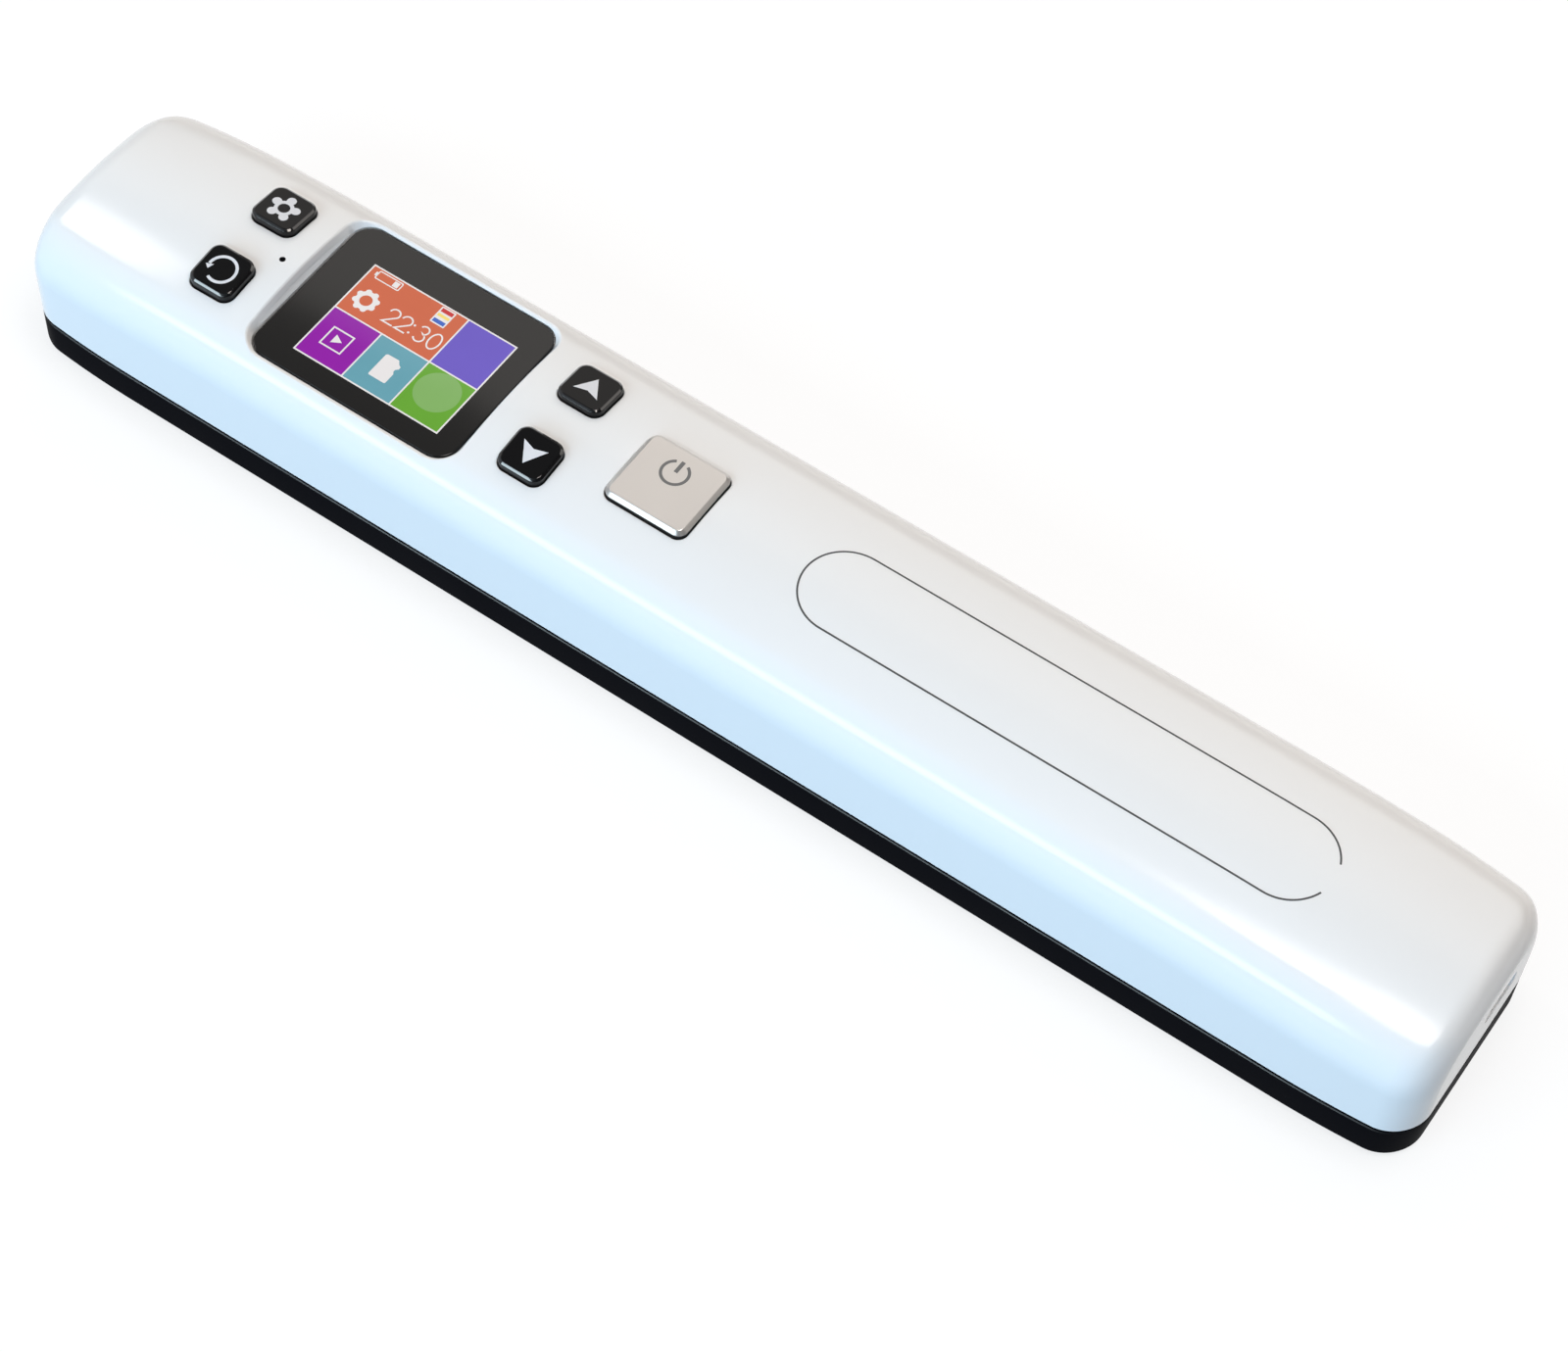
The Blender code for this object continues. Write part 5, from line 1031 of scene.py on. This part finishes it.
# The picture's icons and figures, drawn in millimetres from its middle. A rounded plate is given by its
# middle, length, width and corners.

DIGIT_STROKE = 0.27
TIME_Y = 3.55
GEAR_AT = (-10.6, 3.67)
STRIPE_X = (-0.05, 2.15)
DISC_AT = (9.2, -4.0)


def bow(across, up, start, turn, count, y=0.0):
    """Points along part of an oval, from a start angle by equal turns, in degrees."""
    turns = [math.radians(start + turn * i) for i in range(count)]
    return [(across * math.cos(t), y + up * math.sin(t)) for t in turns]


def digit_two(x, y):
    """A drawn figure two."""
    foot = [(-0.95, -1.47), (1.0, -1.47)]
    top = bow(across=0.9, up=0.9, start=175, turn=-8, count=26, y=0.68)
    return stroke(at(top + foot, x, y), DIGIT_STROKE)


def digit_three(x, y):
    """A drawn figure three."""
    upper = bow(across=0.8, up=0.8, start=155, turn=-9, count=27, y=0.8)
    lower = bow(across=0.88, up=0.86, start=78, turn=-9, count=27, y=-0.72)
    return stroke(at(upper[:-1] + lower, x, y), DIGIT_STROKE)


def digit_zero(x, y):
    """A drawn nought."""
    oval = bow(across=0.95, up=1.6, start=0, turn=7.5, count=48)
    return stroke(at(oval, x, y), DIGIT_STROKE, closed=True)


battery_icon = [rounded(-10.1, 8.9, 4.7, 1.75, 0.3), rounded(-10.1, 8.9, 4.3, 1.35, 0.18)]
gear_rim = gear_outline(lobes=8, out=1.72, lobe_r=0.52, valley=1.85, start=22.5)
gear_icon = [at(gear_rim, *GEAR_AT), at(disc(1.05), *GEAR_AT)]
card_icon = [
    (-1.35, -2.6), (0.75, -2.55), (1.3, -3.25), (1.75, -3.5), (1.75, -4.0), (1.35, -4.35), (1.35, -4.8),
    (1.65, -5.2), (1.65, -7.2), (1.5, -7.4), (-1.45, -7.4), (-1.6, -7.2), (-1.6, -2.85),
]
icons = [
    battery_icon,
    [rounded(-8.75, 8.9, 1.0, 1.1, 0.1)],
    [rounded(-12.6, 8.9, 0.35, 0.8, 0.1)],
    gear_icon,
    digit_two(-5.35, TIME_Y),
    digit_two(-2.95, TIME_Y),
    [at(disc(0.2, 20), -1.5, TIME_Y - 0.95)],
    [at(disc(0.2, 20), -1.5, TIME_Y + 0.75)],
    digit_three(0.35, TIME_Y),
    digit_zero(2.85, TIME_Y),
    [rounded(1.05, 8.15, 2.7, 3.5, 0.15)],
    [rounded(-9.38, -5.1, 4.15, 4.0, 0.06), rounded(-9.38, -5.1, 3.6, 3.45, 0.04)],
    [[(-10.05, -4.2), (-8.45, -5.1), (-10.05, -6.0)]],
    [card_icon],
]
screen_plate("picture_icons", icons, 2, screen_white)
for name, low_y, high_y, skin in (
    ("stripe_red", 8.9, 9.65, icon_red),
    ("stripe_yellow", 7.95, 8.5, icon_yellow),
    ("stripe_blue", 6.65, 7.4, icon_blue),
):
    screen_plate(name, [[box_of(*STRIPE_X, low_y, high_y)]], 3, skin)
screen_plate("green_disc", [[at(disc(3.8), *DISC_AT)]], 2, tile_pale_green)

# Camera

CAMERA_PLACE = (0.16831, -0.26713, 0.48009)
CAMERA_RIGHT = Vector((0.82296, 0.56672, 0.03951))
CAMERA_UP = Vector((-0.49442, 0.68025, 0.54112))
CAMERA_BACK = Vector((0.27979, -0.46486, 0.84002))
LENS = 84.67
SENSOR_WIDTH = 36
camera_data = bpy.data.cameras.new("camera")
camera_data.lens = LENS
camera_data.sensor_width = SENSOR_WIDTH
camera_data.sensor_fit = "HORIZONTAL"
camera = bpy.data.objects.new("camera", camera_data)
bpy.context.scene.collection.objects.link(camera)
turn = Matrix((CAMERA_RIGHT, CAMERA_UP, CAMERA_BACK)).transposed().to_4x4()
camera.matrix_world = Matrix.Translation(CAMERA_PLACE) @ turn
bpy.context.scene.camera = camera

# Light

# Each lamp's name, place, target, size, colour, power, and whether glossy surfaces mirror it. The front
# panel isn't mirrored, so that the edge strip's thin line shows on the shoulder.
LAMPS = (
    ("front_panel", (-0.22, -1.2, 0.27), (-0.22, 0, 0.02), (1.9, 0.48), (0.43, 0.71, 1.0), 14.9, False),
    ("edge_strip", (-0.37, -0.93, 0.72), (-0.37, 0, 0.02), (1.0, 0.24), (0.74, 0.9, 0.98), 4.2, True),
    ("roof_panel", (0.0, 1.175, 0.85), (0.0, 1.175, 0.0), (2.4, 1.4), (1.0, 0.95, 0.9), 9.4, True),
    ("left_box", (-0.83, 0.2, 0.9), (-0.117, -0.01, 0.027), (0.2, 0.24), (1.0, 0.97, 0.95), 0.9, True),
    ("right_box", (0.08, 0.05, 1.03), (0.1, -0.01, 0.03), (0.28, 0.22), (1.0, 0.97, 0.95), 1.35, True),
    ("high_box", (0.35, 0.0, 1.05), (0.0, 0.0, 0.03), (0.45, 0.45), (1.0, 0.92, 0.86), 3.6, True),
)
for name, place, target, size, colour, power, mirrored in LAMPS:
    lamp = bpy.data.lights.new(name, "AREA")
    lamp.shape = "RECTANGLE"
    lamp.size, lamp.size_y = size
    lamp.color = colour
    lamp.energy = power
    holder = bpy.data.objects.new(name, lamp)
    holder.location = place
    holder.rotation_mode = "QUATERNION"
    holder.rotation_quaternion = (Vector(target) - Vector(place)).to_track_quat("-Z", "Y")
    holder.visible_glossy = mirrored
    bpy.context.scene.collection.objects.link(holder)

# The studio round the object: stronger at its left, cooler at its front, and white to the camera
ROOM_X = (-0.5, 0.5)
ROOM_STRENGTH = (0.42, 0.03)
ROOM_Y = (-0.6, 0.4)
ROOM_COOL = (0.8, 0.9, 1.0)
ROOM_WARM = (1.0, 0.95, 0.91)


def bare_tree(owner):
    """The empty node tree of a world or a material."""
    owner.use_nodes = True
    owner.node_tree.nodes.clear()
    return owner.node_tree


world = bpy.data.worlds.new("studio")
bpy.context.scene.world = world
tree = bare_tree(world)
room = add_node(tree, "Background")
side = add_node(tree, "TexCoord")
parts = add_node(tree, "SeparateXYZ")
(x0, x1), (strong, weak), (y0, y1) = ROOM_X, ROOM_STRENGTH, ROOM_Y
dim = add_node(tree, "MapRange", From_Min=x0, From_Max=x1, To_Min=strong, To_Max=weak)
tint = add_node(tree, "MapRange", From_Min=y0, From_Max=y1)
hue = add_mix(tree, ROOM_COOL, ROOM_WARM)
seen = add_node(tree, "Background", Strength=1.0)
rays = add_node(tree, "LightPath")
blend = add_node(tree, "MixShader")
out = add_node(tree, "OutputWorld")
wire(
    tree,
    (side.outputs["Generated"], parts.inputs["Vector"]),
    (parts.outputs["X"], dim.inputs["Value"]),
    (dim.outputs["Result"], room.inputs["Strength"]),
    (parts.outputs["Y"], tint.inputs["Value"]),
    (tint.outputs["Result"], hue.inputs["Factor"]),
    (hue.outputs["Result"], room.inputs["Color"]),
    (rays.outputs["Is Camera Ray"], blend.inputs["Fac"]),
    (room.outputs["Background"], blend.inputs[1]),
    (seen.outputs["Background"], blend.inputs[2]),
    (blend.outputs["Shader"], out.inputs["Surface"]),
)

# The floor: grey under the lamps, lifted to white for the camera and in gloss and glass
FLOOR_SIZE = 8
FLOOR_GREY = (0.25, 0.25, 0.25, 1)
FLOOR_LIFT = 0.78

begin()
bpy.ops.mesh.primitive_plane_add(size=FLOOR_SIZE)
floor = take("floor")
floor_skin = bpy.data.materials.new("floor_white")
tree = bare_tree(floor_skin)
matt = add_node(tree, "BsdfDiffuse", Color=FLOOR_GREY)
lift = add_node(tree, "Emission", Strength=FLOOR_LIFT)
both = add_node(tree, "AddShader")
rays = add_node(tree, "LightPath")
either = add_node(tree, "Math")
either.operation = "MAXIMUM"
any_ray = add_node(tree, "Math")
any_ray.operation = "MAXIMUM"
blend = add_node(tree, "MixShader")
out = add_node(tree, "OutputMaterial")
wire(
    tree,
    (rays.outputs["Is Camera Ray"], either.inputs[0]),
    (rays.outputs["Is Glossy Ray"], either.inputs[1]),
    (either.outputs["Value"], any_ray.inputs[0]),
    (rays.outputs["Is Transmission Ray"], any_ray.inputs[1]),
    (matt.outputs["BSDF"], both.inputs[0]),
    (lift.outputs["Emission"], both.inputs[1]),
    (any_ray.outputs["Value"], blend.inputs["Fac"]),
    (matt.outputs["BSDF"], blend.inputs[1]),
    (both.outputs["Shader"], blend.inputs[2]),
    (blend.outputs["Shader"], out.inputs["Surface"]),
)
floor.data.materials.append(floor_skin)

bpy.context.scene.view_settings.view_transform = "Standard"
